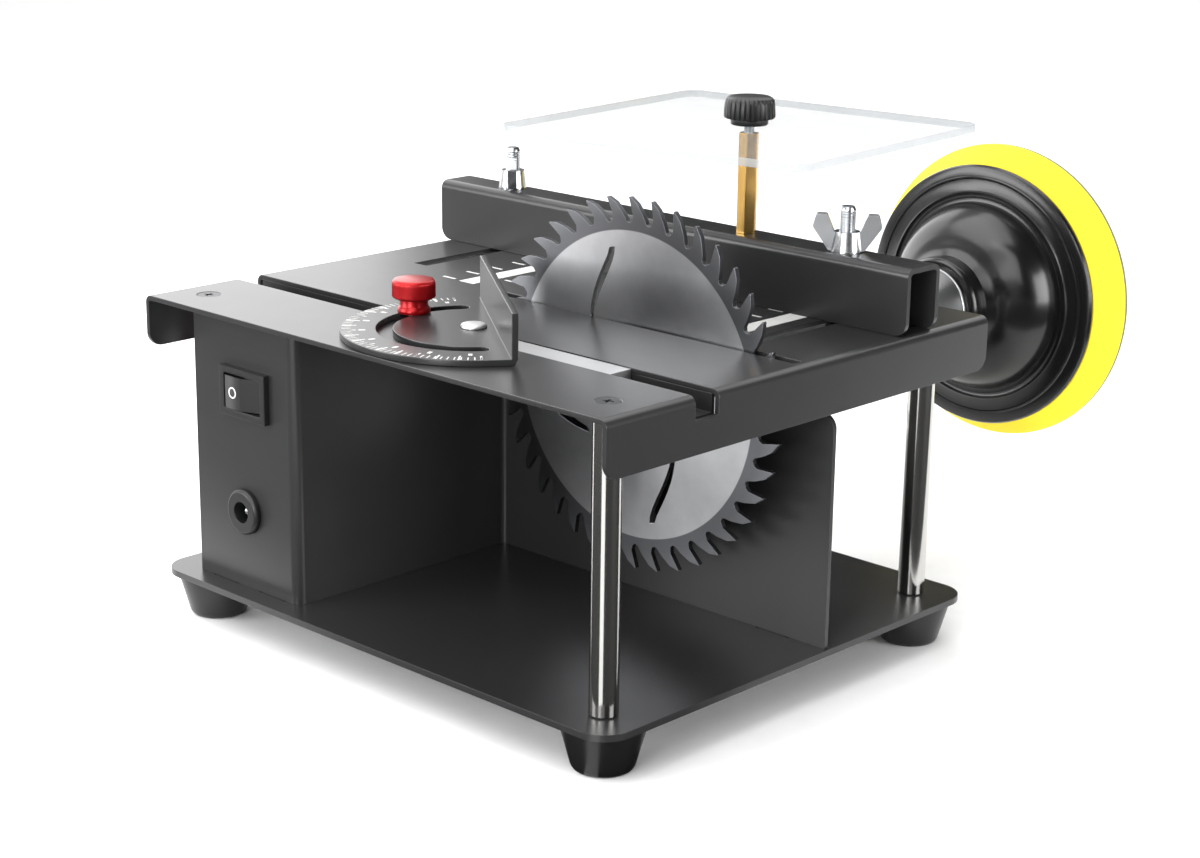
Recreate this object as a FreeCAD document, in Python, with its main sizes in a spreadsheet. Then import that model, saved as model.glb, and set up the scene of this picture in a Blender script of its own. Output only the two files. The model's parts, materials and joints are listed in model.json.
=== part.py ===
"""Small bench table saw with a sanding pad on the other end of its motor shaft, as a parametric document.

Frame: millimetres, origin at the centre of the base plate's underside, +X the way the work is fed,
+Y from the switch side to the sanding pad, +Z up.
"""
import FreeCAD, Part
import math
import os
import re

import Sketcher

doc = FreeCAD.newDocument("TableSaw")
sheet = doc.addObject("Spreadsheet::Sheet", "Sizes")

# ---------------------------------------------------------------- driving dimensions
SIZES = {
    # base plate, feet and corner posts
    "base_length": 190.0,
    "base_width": 160.0,
    "base_thickness": 2.0,
    "base_corner": 9.0,
    "foot_height": 13.0,
    "foot_top_radius": 11.8,
    "foot_tip_radius": 8.6,
    "foot_edge": 1.5,
    "post_inset": 12.7,
    "post_radius": 4.0,
    "post_height": 84.0,
    "corner_screw_radius": 1.95,
    "corner_screw_reach": 9.0,
    "table_screw_head": 3.7,
    "foot_screw_head": 3.5,
    "foot_screw_pocket": 6.0,
    # table: one folded sheet with two end flanges
    "table_length": 190.0,
    "table_width": 162.4,
    "table_sheet": 1.5,
    "table_flange": 16.0,
    "table_bend": 2.4,
    "flange_corner": 4.5,
    "blade_slot_width": 3.4,
    "blade_slot_margin": 8.0,
    "mitre_slot_width": 9.0,
    "mitre_slot_place": -43.5,
    "mitre_groove_depth": 6.6,
    "channel_sheet": 1.2,
    "channel_brim": 6.0,
    "fence_slot_width": 5.6,
    "fence_slot_near": 7.4,
    "fence_slot_far": 70.0,
    # folded panel: switch face, side wall and the upright behind the blade
    "panel_sheet": 1.5,
    "panel_bend": 3.0,
    "switch_face_place": -73.2,
    "switch_face_left": -82.4,
    "side_wall_place": -36.2,
    "panel_place": 10.8,
    "panel_edge_gap": 1.0,
    "panel_step_height": 68.4,
    "panel_step_length": 10.0,
    "panel_corner": 4.0,
    "tab_length": 10.0,
    "tab_gap": 0.2,
    "notch_gap": 0.5,
    # motor and its two-ended shaft
    "shaft_x": 31.0,
    "shaft_drop": 18.2,
    "shaft_radius": 3.0,
    "motor_radius": 16.2,
    "motor_length": 62.0,
    "motor_wall": 1.2,
    "motor_face": 2.0,
    "end_cap_length": 5.0,
    "end_cap_boss": 6.5,
    "end_cap_boss_length": 4.0,
    "bearing_radius": 6.5,
    "bearing_width": 5.0,
    "running_gap": 0.04,
    "motor_screw_circle": 11.4,
    "motor_screw_radius": 1.45,
    "motor_screw_head": 2.75,
    "armature_radius": 11.0,
    "armature_length": 34.0,
    "armature_start": 10.0,
    "pole_count": 5.0,
    "pole_slot_width": 3.0,
    "pole_slot_depth": 5.4,
    "winding_reach": 3.5,
    "air_gap": 0.5,
    "magnet_span": 130.0,
    "commutator_radius": 4.6,
    "commutator_length": 8.0,
    "brush_width": 4.0,
    "brush_length": 6.0,
    "terminal_length": 7.0,
    "terminal_offset": 11.6,
    # saw blade and the parts that hold it
    "blade_place": -2.1,
    "blade_radius": 55.0,
    "blade_plate": 1.6,
    "blade_bore_radius": 10.0,
    "tooth_count": 40.0,
    "tooth_depth": 7.4,
    "tooth_turn": -2.8,
    "relief_slot_inner": 24.0,
    "relief_slot_outer": 40.5,
    "relief_slot_end": 2.0,
    "relief_slot_belly": 1.8,
    "relief_slot_sweep": 31.0,
    "relief_slot_turn": -102.5,
    "arbor_flange_radius": 15.5,
    "arbor_flange_length": 4.0,
    "arbor_sleeve_radius": 6.0,
    "arbor_pilot_length": 2.6,
    "arbor_thread_radius": 4.0,
    "arbor_thread_length": 12.0,
    "clamp_washer_radius": 15.5,
    "clamp_washer_length": 3.0,
    "arbor_nut_flats": 13.0,
    "arbor_nut_length": 6.5,
    # sanding pad on the far end
    "pad_mouth_place": 143.4,
    "pad_back_place": 182.2,
    "adapter_radius": 13.7,
    "adapter_length": 22.0,
    "adapter_shank_radius": 7.5,
    "adapter_shank_length": 26.0,
    "adapter_stud_radius": 5.0,
    "adapter_stud_length": 16.0,
    "hub_neck_radius": 17.0,
    "hub_dome_radius": 32.2,
    "hub_rim_radius": 44.0,
    "pad_radius": 50.0,
    "pad_foam_length": 10.0,
    "hook_length": 1.4,
    # rip fence, its bolts and the clear shield
    "fence_length": 192.0,
    "fence_centre": -1.2,
    "fence_place": 40.8,
    "fence_width": 15.0,
    "fence_height": 19.5,
    "fence_sheet": 1.5,
    "fence_bend": 2.6,
    "fence_lift": 0.1,
    "fence_corner": 4.0,
    "bolt_spacing": 138.0,
    "bolt_centre": -2.0,
    "bolt_radius": 2.45,
    "bolt_tip_height": 33.0,
    "bolt_head_width": 8.0,
    "bolt_head_length": 3.2,
    "bolt_hole_gap": 0.3,
    "wing_hub_radius": 4.6,
    "wing_hub_length": 6.0,
    "wing_span": 20.0,
    "wing_height": 11.0,
    "wing_sheet": 2.8,
    "left_wing_turn": -46.0,
    "right_wing_turn": 36.0,
    "pillar_x": 29.0,
    "pillar_flats": 5.5,
    "pillar_height": 30.0,
    "pillar_screw_radius": 1.5,
    "pillar_screw_head": 2.8,
    "pillar_screw_reach": 7.0,
    "shield_length": 107.0,
    "shield_width": 100.0,
    "shield_thickness": 2.5,
    "shield_corner": 6.0,
    "shield_offset": 3.0,
    "shield_turn": 6.2,
    "shield_knob_radius": 7.7,
    "shield_knob_collar": 5.6,
    "shield_knob_height": 8.2,
    # mitre gauge
    "gauge_pivot_x": 7.6,
    "gauge_turn": 53.0,
    "gauge_radius": 37.5,
    "gauge_sheet": 1.8,
    "gauge_reach": 6.0,
    "gauge_wall_height": 14.4,
    "gauge_bend": 2.2,
    "gauge_arc_radius": 25.0,
    "gauge_arc_width": 4.6,
    "gauge_arc_half": 88.0,
    "bar_length": 90.0,
    "bar_end": 64.0,
    "bar_side_gap": 0.2,
    "bar_floor_gap": 0.1,
    "bar_top_gap": 0.3,
    "pivot_head_radius": 3.8,
    "pivot_head_height": 1.3,
    "pivot_pin_radius": 2.0,
    "gauge_stud_radius": 1.95,
    "gauge_stud_height": 9.0,
    "gauge_knob_base": 4.8,
    "gauge_knob_neck": 4.1,
    "gauge_knob_radius": 6.3,
    "gauge_knob_height": 9.8,
    # switch and power inlet
    "switch_x": -57.8,
    "switch_z": 62.6,
    "switch_bezel_length": 21.0,
    "switch_bezel_width": 15.0,
    "switch_bezel_thickness": 2.0,
    "switch_body_length": 18.6,
    "switch_body_width": 12.6,
    "switch_body_depth": 14.0,
    "switch_window_gap": 1.0,
    "rocker_sink": 1.6,
    "rocker_radius": 8.0,
    "rocker_rest": 9.0,
    "rocker_tilt": 22.0,
    "rocker_crown": 4.2,
    "rocker_keel": 4.5,
    "rocker_gap": 0.35,
    "jack_x": -59.5,
    "jack_z": 26.0,
    "jack_flange_radius": 7.0,
    "jack_flange_thickness": 2.2,
    "jack_thread_radius": 5.4,
    "jack_depth": 13.0,
    "jack_bore": 3.2,
    "jack_pin_radius": 1.05,
    "jack_nut_flats": 14.0,
    "jack_nut_thickness": 2.4,
    "lead_radius": 1.1,
}
for row, (alias, value) in enumerate(SIZES.items(), start=1):
    sheet.set(f"A{row}", alias)
    sheet.set(f"B{row}", str(value))
    sheet.setAlias(f"B{row}", alias)
doc.recompute()

# ---------------------------------------------------------------- places that several pieces share
TABLE_UNDERSIDE = "(base_thickness + post_height)"
TABLE_TOP = "(base_thickness + post_height + table_sheet)"
SHAFT_Z = f"({TABLE_TOP} - shaft_drop)"
PANEL_BACK = "(panel_place + panel_sheet)"
MOTOR_BACK = f"({PANEL_BACK} + motor_length)"
CAP_BACK = f"({MOTOR_BACK} + end_cap_length)"
PANEL_RIGHT = "(base_length / 2 - panel_edge_gap)"
FENCE_BOTTOM = f"({TABLE_TOP} + fence_lift)"
FENCE_TOP = f"({FENCE_BOTTOM} + fence_height)"
FENCE_MIDDLE = "(fence_place + fence_width / 2)"
PILLAR_TOP = f"({FENCE_TOP} + pillar_height)"
SHIELD_TOP = f"({PILLAR_TOP} + shield_thickness)"
GAUGE_TOP = f"({TABLE_TOP} + gauge_sheet)"
KNOB_X = "(gauge_pivot_x - gauge_arc_radius)"
GROOVE_FLOOR = f"({TABLE_TOP} - mitre_groove_depth)"
BLADE_BACK = "(blade_place + blade_plate / 2)"
BLADE_FRONT = "(blade_place - blade_plate / 2)"
SWITCH_INNER = "(switch_face_place + panel_sheet)"

WORD = re.compile(r"[a-z][a-z_]*")
nodes = []


def expression(text):
    """The same formula with each dimension's name pointing at its cell."""
    return WORD.sub(lambda m: f"Sizes.{m.group(0)}" if m.group(0) in SIZES else m.group(0), str(text))


def number(text):
    """The formula's value now."""
    value = sheet.evalExpression(expression(text))
    return float(getattr(value, "Value", value))


def bind(thing, path, text):
    """Ties one property to a formula of the sheet."""
    thing.setExpression(path, expression(text))


def node(thing, label):
    """Marks an object as one sub-part that is written out under its own name."""
    thing.Label = label
    nodes.append(thing)
    return thing


def place(thing, x="0", y="0", z="0", along_y=False, turn="0"):
    """Ties a piece's place; along_y turns its own +Z to +Y, and turn is its angle about +Z."""
    if along_y:
        turned = FreeCAD.Rotation(FreeCAD.Vector(1, 0, 0), -90)
    else:
        turned = FreeCAD.Rotation(FreeCAD.Vector(0, 0, 1), number(turn))
    thing.Placement = FreeCAD.Placement(FreeCAD.Vector(number(x), number(y), number(z)), turned)
    for axis, text in (("x", x), ("y", y), ("z", z)):
        if text != "0":
            bind(thing, f"Placement.Base.{axis}", text)
    if turn != "0":
        bind(thing, "Placement.Rotation.Angle", turn)
    return thing


# ---------------------------------------------------------------- sketch and feature helpers
def new_body(name):
    """An empty body."""
    return doc.addObject("PartDesign::Body", name)


def new_sketch(body, plane, lift="0"):
    """A sketch on one of the body's own origin planes, lifted along the plane's normal."""
    sketch = body.newObject("Sketcher::SketchObject", f"{body.Name}_sketch")
    origin = [f for f in body.Origin.OriginFeatures if f.Role == plane][0]
    sketch.AttachmentSupport = [(origin, "")]
    sketch.MapMode = "FlatFace"
    if lift != "0":
        bind(sketch, "AttachmentOffset.Base.z", lift)
    return sketch


def pin_point(sketch, geometry, end, x, y):
    """Ties a point's two coordinates to formulas."""
    for kind, text, axis in (("DistanceX", x, -2), ("DistanceY", y, -1)):
        if text == "0":
            sketch.addConstraint(Sketcher.Constraint("PointOnObject", geometry, end, axis))
            continue
        index = sketch.addConstraint(Sketcher.Constraint(kind, -1, 1, geometry, end, number(text)))
        bind(sketch, f"Constraints[{index}]", text)


def outline(sketch, corners):
    """A closed outline of straight edges between corners given as pairs of formulas."""
    points = [FreeCAD.Vector(number(x), number(y), 0) for x, y in corners]
    first = sketch.GeometryCount
    count = len(points)
    for k in range(count):
        sketch.addGeometry(Part.LineSegment(points[k], points[(k + 1) % count]), False)
    for k in range(count):
        follower = first + (k + 1) % count
        sketch.addConstraint(Sketcher.Constraint("Coincident", first + k, 2, follower, 1))
    for k, (x, y) in enumerate(corners):
        pin_point(sketch, first + k, 1, x, y)


def rectangle(sketch, left, low, right, high):
    """An outline of four edges."""
    outline(sketch, [(left, low), (right, low), (right, high), (left, high)])


def circle(sketch, x, y, radius):
    """A circle tied by its centre and radius."""
    centre = FreeCAD.Vector(number(x), number(y), 0)
    index = sketch.addGeometry(Part.Circle(centre, FreeCAD.Vector(0, 0, 1), number(radius)), False)
    pin_point(sketch, index, 3, x, y)
    tied = sketch.addConstraint(Sketcher.Constraint("Radius", index, number(radius)))
    bind(sketch, f"Constraints[{tied}]", radius)


def pad(body, sketch, length, back=False, middle=False):
    """Adds material from a sketch."""
    feature = body.newObject("PartDesign::Pad", f"{body.Name}_pad")
    feature.Profile = sketch
    bind(feature, "Length", length)
    feature.Reversed = back
    if middle:
        feature.Midplane = True
    doc.recompute()
    return feature


def pocket(body, sketch, length="0", middle=False, back=False):
    """Cuts a sketch out of the body, through all of it unless a length is given."""
    before = body.Shape.Volume
    feature = body.newObject("PartDesign::Pocket", f"{body.Name}_pocket")
    feature.Profile = sketch
    if length == "0":
        feature.Type = "ThroughAll"
        feature.Midplane = True
    else:
        bind(feature, "Length", length)
        feature.Reversed = back
        feature.Midplane = middle
    doc.recompute()
    if not body.Shape.Volume < before - 1e-6:
        raise RuntimeError(f"{feature.Name} cuts nothing")
    return feature


def fillet(body, radius, chosen, kind="PartDesign::Fillet"):
    """Rounds, or chamfers, each edge of the body that chosen accepts."""
    base = body.Tip
    names = [f"Edge{k}" for k, edge in enumerate(base.Shape.Edges, start=1) if chosen(edge)]
    if not names:
        raise RuntimeError(f"no edge to round on {body.Name}")
    feature = body.newObject(kind, f"{body.Name}_edges")
    feature.Base = (base, names)
    bind(feature, "Radius" if kind.endswith("Fillet") else "Size", radius)
    doc.recompute()
    return feature


def runs_along(edge, axis):
    """Whether an edge is straight and parallel to one axis."""
    if edge.Curve.TypeId != "Part::GeomLine":
        return False
    direction = edge.tangentAt(edge.FirstParameter)
    return abs(abs(getattr(direction, axis)) - 1) < 1e-6


def edge_at(axis, **where):
    """A test for straight edges along an axis whose middle lies at the given coordinates."""
    wanted = {key: [number(text) for text in texts] for key, texts in where.items()}

    def chosen(edge):
        middle = edge.valueAt((edge.FirstParameter + edge.LastParameter) / 2)
        near = all(min(abs(getattr(middle, key) - v) for v in vs) < 0.02 for key, vs in wanted.items())
        return runs_along(edge, axis) and near

    return chosen


def turned(name, profile, x="0", y="0", z="0", along_y=False):
    """A round piece from a closed profile of (radius, height) corners."""
    body = new_body(name)
    sketch = new_sketch(body, "XZ_Plane")
    outline(sketch, profile)
    feature = body.newObject("PartDesign::Revolution", f"{name}_turned")
    feature.Profile = sketch
    feature.ReferenceAxis = (sketch, ["V_Axis"])
    feature.Angle = 360
    place(body, x, y, z, along_y)
    doc.recompute()
    return body


def polar(body, feature, count, angle="360"):
    """Repeats a feature round the body's own Z axis."""
    pattern = body.newObject("PartDesign::PolarPattern", f"{body.Name}_round")
    pattern.Originals = [feature]
    axis = [f for f in body.Origin.OriginFeatures if f.Role == "Z_Axis"][0]
    pattern.Axis = (axis, [""])
    bind(pattern, "Angle", angle)
    bind(pattern, "Occurrences", count)
    body.Tip = pattern
    doc.recompute()
    return pattern


def mirrored(source, normal, name, x="0"):
    """A mirror copy of a piece across a plane through x."""
    copy = doc.addObject("Part::Mirroring", name)
    copy.Source = source
    copy.Normal = normal
    if x != "0":
        bind(copy, "Base.x", x)
    doc.recompute()
    return copy


def group(name, members):
    """Separate solids kept together as one object."""
    compound = doc.addObject("Part::Compound", name)
    compound.Links = members
    doc.recompute()
    return compound


def four_corners(name, one):
    """A round piece and its three copies, mirrored across both middle planes."""
    pair = group(f"{name}_pair", [one, mirrored(one, FreeCAD.Vector(1, 0, 0), f"{name}_across")])
    return group(name, [pair, mirrored(pair, FreeCAD.Vector(0, 1, 0), f"{name}_behind")])


def cylinder(name, radius, height, x="0", y="0", z="0", along_y=False):
    """A plain cylinder."""
    thing = doc.addObject("Part::Cylinder", name)
    bind(thing, "Radius", radius)
    bind(thing, "Height", height)
    return place(thing, x, y, z, along_y)


def box(name, size, corner):
    """A plain block from its size and its lowest corner, as formulas."""
    thing = doc.addObject("Part::Box", name)
    for key, text in zip(("Length", "Width", "Height"), size):
        bind(thing, key, text)
    return place(thing, *corner)


def fuse(name, members):
    """One solid from several."""
    thing = doc.addObject("Part::MultiFuse", name)
    thing.Shapes = members
    doc.recompute()
    return thing


def cut(name, base, tool):
    """One solid less another."""
    thing = doc.addObject("Part::Cut", name)
    thing.Base = base
    thing.Tool = tool
    doc.recompute()
    return thing


def prism(name, flats, length, x="0", y="0", z="0", along_y=False):
    """A hexagonal bar from its width across flats."""
    thing = doc.addObject("Part::Prism", name)
    thing.Polygon = 6
    bind(thing, "Circumradius", f"{flats} / 2 / cos(30)")
    bind(thing, "Height", length)
    return place(thing, x, y, z, along_y)


# ---------------------------------------------------------------- base, feet and posts
POST_X = "(base_length / 2 - post_inset)"
POST_Y = "(base_width / 2 - post_inset)"
TAB_PLACES = {
    "panel": ["base_length / 2 - 20", "side_wall_place + 25"],
    "face": ["switch_face_left + 12", "side_wall_place - 12"],
}


def slot_for_tab(sketch, x, y):
    """One rectangular slot in the base for a tab of the folded panel."""
    rectangle(sketch,
              f"{x} - tab_length / 2 - tab_gap - 1",
              f"{y} - tab_gap",
              f"{x} + tab_length / 2 + tab_gap + 1",
              f"{y} + panel_sheet + tab_gap")


def make_base():
    """Base plate with post holes and tab slots."""
    body = new_body("base_plate")
    sketch = new_sketch(body, "XY_Plane")
    rectangle(sketch, "-base_length / 2", "-base_width / 2", "base_length / 2", "base_width / 2")
    pad(body, sketch, "base_thickness")
    fillet(body, "base_corner", lambda edge: runs_along(edge, "z"))
    holes = new_sketch(body, "XY_Plane")
    for side in ("-", ""):
        for end in ("-", ""):
            circle(holes, f"{side}{POST_X}", f"{end}{POST_Y}", "corner_screw_radius + bolt_hole_gap")
    for x in TAB_PLACES["panel"]:
        slot_for_tab(holes, x, "panel_place")
    for x in TAB_PLACES["face"]:
        slot_for_tab(holes, x, "switch_face_place")
    pocket(body, holes)
    return node(body, "base_plate")


def make_feet():
    """Tapered rubber feet with a pocket for the screw head."""
    profile = [
        ("corner_screw_radius + bolt_hole_gap", "0"),
        ("foot_top_radius", "0"),
        ("foot_tip_radius", "-foot_height"),
        ("foot_screw_head + 0.6", "-foot_height"),
        ("foot_screw_head + 0.6", "-foot_height + foot_screw_pocket"),
        ("corner_screw_radius + bolt_hole_gap", "-foot_height + foot_screw_pocket"),
    ]
    foot = turned("rubber_foot", profile, POST_X, POST_Y)

    def outer_rim(edge):
        round_edge = edge.Curve.TypeId == "Part::GeomCircle"
        return round_edge and abs(edge.Curve.Radius - number("foot_tip_radius")) < 0.01

    fillet(foot, "foot_edge", outer_rim)
    node(four_corners("feet", foot), "rubber_feet")

    screw = turned("foot_screw", [
        ("0", "-foot_height + foot_screw_pocket - 2.4"),
        ("foot_screw_head", "-foot_height + foot_screw_pocket - 2.4"),
        ("foot_screw_head", "-foot_height + foot_screw_pocket"),
        ("corner_screw_radius", "-foot_height + foot_screw_pocket"),
        ("corner_screw_radius", "base_thickness + corner_screw_reach"),
        ("0", "base_thickness + corner_screw_reach"),
    ], POST_X, POST_Y)
    node(four_corners("foot_screw_set", screw), "foot_screws")


def make_posts():
    """Round posts, tapped at both ends, and the countersunk screws that hold the table on them."""
    hole = "corner_screw_radius"
    post = turned("post", [
        (hole, "base_thickness"),
        ("post_radius", "base_thickness"),
        ("post_radius", TABLE_UNDERSIDE),
        (hole, TABLE_UNDERSIDE),
        (hole, f"{TABLE_UNDERSIDE} - corner_screw_reach - 2"),
        ("0", f"{TABLE_UNDERSIDE} - corner_screw_reach - 2"),
        ("0", "base_thickness + corner_screw_reach + 2"),
        (hole, "base_thickness + corner_screw_reach + 2"),
    ], POST_X, POST_Y)
    node(four_corners("posts", post), "corner_posts")

    screw = turned("table_screw", [
        ("0", f"{TABLE_UNDERSIDE} - corner_screw_reach"),
        (hole, f"{TABLE_UNDERSIDE} - corner_screw_reach"),
        (hole, f"{TABLE_UNDERSIDE}"),
        ("table_screw_head", f"{TABLE_TOP} - 0.1"),
        ("0", f"{TABLE_TOP} - 0.1"),
    ], POST_X, POST_Y)
    node(four_corners("table_screw_set", screw), "table_screws")


# ---------------------------------------------------------------- table
BOLT_LEFT = "(bolt_centre - bolt_spacing / 2)"
BOLT_RIGHT = "(bolt_centre + bolt_spacing / 2)"
SLOT_HALF = "(sqrt(blade_radius * blade_radius - shaft_drop * shaft_drop) + blade_slot_margin)"


def make_table():
    """Folded table sheet with its blade, mitre and fence slots."""
    half, sheet_in = "table_length / 2", "table_sheet"
    body = new_body("table_top")
    profile = new_sketch(body, "XZ_Plane")
    outline(profile, [
        (f"-{half}", f"{TABLE_TOP} - table_flange"),
        (f"-{half} + {sheet_in}", f"{TABLE_TOP} - table_flange"),
        (f"-{half} + {sheet_in}", TABLE_UNDERSIDE),
        (f"{half} - {sheet_in}", TABLE_UNDERSIDE),
        (f"{half} - {sheet_in}", f"{TABLE_TOP} - table_flange"),
        (half, f"{TABLE_TOP} - table_flange"),
        (half, TABLE_TOP),
        (f"-{half}", TABLE_TOP),
    ])
    pad(body, profile, "table_width", middle=True)
    fillet(body, "table_bend - table_sheet",
           edge_at("y", x=[f"-{half} + {sheet_in}", f"{half} - {sheet_in}"], z=[TABLE_UNDERSIDE]))
    fillet(body, "table_bend", edge_at("y", x=[f"-{half}", half], z=[TABLE_TOP]))
    fillet(body, "flange_corner",
           edge_at("x", y=["-table_width / 2", "table_width / 2"], z=[f"{TABLE_TOP} - table_flange"]))

    slots = new_sketch(body, "XY_Plane", TABLE_UNDERSIDE)
    rectangle(slots, f"shaft_x - {SLOT_HALF}", "blade_place - blade_slot_width / 2",
              f"shaft_x + {SLOT_HALF}", "blade_place + blade_slot_width / 2")
    for x in (BOLT_LEFT, BOLT_RIGHT):
        rectangle(slots, f"{x} - fence_slot_width / 2", "fence_slot_near",
                  f"{x} + fence_slot_width / 2", "fence_slot_far")
    for side in ("-", ""):
        for end in ("-", ""):
            circle(slots, f"{side}{POST_X}", f"{end}{POST_Y}", "corner_screw_radius")
    pocket(body, slots)

    mitre = new_sketch(body, "YZ_Plane")
    rectangle(mitre, "mitre_slot_place - mitre_slot_width / 2", GROOVE_FLOOR,
              "mitre_slot_place + mitre_slot_width / 2", f"{TABLE_TOP} + 1")
    pocket(body, mitre)

    for number_of, side in enumerate(("-", "")):
        for end in ("-", ""):
            seat = doc.addObject("PartDesign::SubtractiveCone", f"countersink_{number_of}{end and 'a'}")
            body.addObject(seat)
            bind(seat, "Radius1", "corner_screw_radius")
            bind(seat, "Radius2", "table_screw_head")
            bind(seat, "Height", "table_sheet")
            x, y = f"{side}{POST_X}", f"{end}{POST_Y}"
            seat.Placement.Base = FreeCAD.Vector(number(x), number(y), number(TABLE_UNDERSIDE))
            for axis, text in (("x", x), ("y", y), ("z", TABLE_UNDERSIDE)):
                bind(seat, f"Placement.Base.{axis}", text)
            body.Tip = seat
            doc.recompute()
    return node(body, "table_top")


def make_channel():
    """Hat-section channel under the table that makes the mitre groove."""
    near = "mitre_slot_place - mitre_slot_width / 2"
    far = "mitre_slot_place + mitre_slot_width / 2"
    body = new_body("mitre_channel")
    sketch = new_sketch(body, "YZ_Plane")
    outline(sketch, [
        (f"{near} - channel_sheet - channel_brim", TABLE_UNDERSIDE),
        (f"{near} - channel_sheet - channel_brim", f"{TABLE_UNDERSIDE} - channel_sheet"),
        (f"{near} - channel_sheet", f"{TABLE_UNDERSIDE} - channel_sheet"),
        (f"{near} - channel_sheet", f"{GROOVE_FLOOR} - channel_sheet"),
        (f"{far} + channel_sheet", f"{GROOVE_FLOOR} - channel_sheet"),
        (f"{far} + channel_sheet", f"{TABLE_UNDERSIDE} - channel_sheet"),
        (f"{far} + channel_sheet + channel_brim", f"{TABLE_UNDERSIDE} - channel_sheet"),
        (f"{far} + channel_sheet + channel_brim", TABLE_UNDERSIDE),
        (far, TABLE_UNDERSIDE),
        (far, GROOVE_FLOOR),
        (near, GROOVE_FLOOR),
        (near, TABLE_UNDERSIDE),
    ])
    pad(body, sketch, "table_length - 2 * table_bend - 0.4", middle=True)
    return node(body, "mitre_channel")


# ---------------------------------------------------------------- folded panel
def make_panel():
    """One sheet folded in a Z: switch face, side wall and the upright that carries the motor."""
    body = new_body("folded_panel")
    plan = new_sketch(body, "XY_Plane", "base_thickness")
    outline(plan, [
        ("switch_face_left", "switch_face_place"),
        ("side_wall_place", "switch_face_place"),
        ("side_wall_place", "panel_place"),
        (PANEL_RIGHT, "panel_place"),
        (PANEL_RIGHT, PANEL_BACK),
        ("side_wall_place - panel_sheet", PANEL_BACK),
        ("side_wall_place - panel_sheet", SWITCH_INNER),
        ("switch_face_left", SWITCH_INNER),
    ])
    pad(body, plan, "post_height")
    fillet(body, "panel_bend", edge_at("z", x=["side_wall_place"], y=["switch_face_place"]))
    fillet(body, "panel_bend", edge_at("z", x=["side_wall_place - panel_sheet"], y=[PANEL_BACK]))
    fillet(body, "panel_bend - panel_sheet",
           edge_at("z", x=["side_wall_place - panel_sheet"], y=[SWITCH_INNER]))
    fillet(body, "panel_bend - panel_sheet", edge_at("z", x=["side_wall_place"], y=["panel_place"]))

    # the upright is lower where it passes under the end flange
    step = new_sketch(body, "XZ_Plane", "-panel_place - panel_sheet / 2")
    rectangle(step, f"{PANEL_RIGHT} - panel_step_length", "base_thickness + panel_step_height",
              f"{PANEL_RIGHT} + 1", f"{TABLE_UNDERSIDE} + 1")
    pocket(body, step, "4 * panel_sheet", middle=True)
    fillet(body, "panel_corner", edge_at("y", x=[PANEL_RIGHT], z=["base_thickness + panel_step_height"]))

    # room in the side wall for the mitre channel
    notch = new_sketch(body, "YZ_Plane", "side_wall_place - panel_sheet / 2")
    half = "mitre_slot_width / 2 + channel_sheet + channel_brim + notch_gap"
    rectangle(notch, f"mitre_slot_place - ({half})", f"{GROOVE_FLOOR} - channel_sheet - notch_gap",
              f"mitre_slot_place + {half}", f"{TABLE_UNDERSIDE} + 1")
    pocket(body, notch, "4 * panel_sheet", middle=True)

    # motor boss, screw holes and a notch for the fence bolt in the upright
    drill = new_sketch(body, "XZ_Plane", "-panel_place - panel_sheet / 2")
    circle(drill, "shaft_x", SHAFT_Z, "bearing_radius + 1")
    for side in ("-", "+"):
        circle(drill, f"shaft_x {side} motor_screw_circle", SHAFT_Z, "motor_screw_radius + 0.15")
    reach = "bolt_head_width / 2 + 2"
    rectangle(drill, f"{BOLT_RIGHT} - ({reach})", f"{TABLE_UNDERSIDE} - bolt_head_length - 1.5",
              f"{BOLT_RIGHT} + {reach}", f"{TABLE_UNDERSIDE} + 1")
    pocket(body, drill, "4 * panel_sheet", middle=True)

    # openings for the switch and the power inlet
    openings = new_sketch(body, "XZ_Plane", "-switch_face_place - panel_sheet / 2")
    rectangle(openings,
              "switch_x - switch_body_length / 2 - 0.1", "switch_z - switch_body_width / 2 - 0.1",
              "switch_x + switch_body_length / 2 + 0.1", "switch_z + switch_body_width / 2 + 0.1")
    circle(openings, "jack_x", "jack_z", "jack_thread_radius + 0.1")
    pocket(body, openings, "4 * panel_sheet", middle=True)

    tabs = new_sketch(body, "XY_Plane")
    for row, y in (("panel", "panel_place"), ("face", "switch_face_place")):
        for x in TAB_PLACES[row]:
            rectangle(tabs, f"{x} - tab_length / 2", y, f"{x} + tab_length / 2", f"{y} + panel_sheet")
    pad(body, tabs, "base_thickness")
    return node(body, "folded_panel")


# ---------------------------------------------------------------- motor that stays still
def on_shaft(name, profile):
    """A round piece about the shaft, from (radius, place along +Y) corners."""
    return turned(name, profile, "shaft_x", "0", SHAFT_Z, along_y=True)


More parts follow.
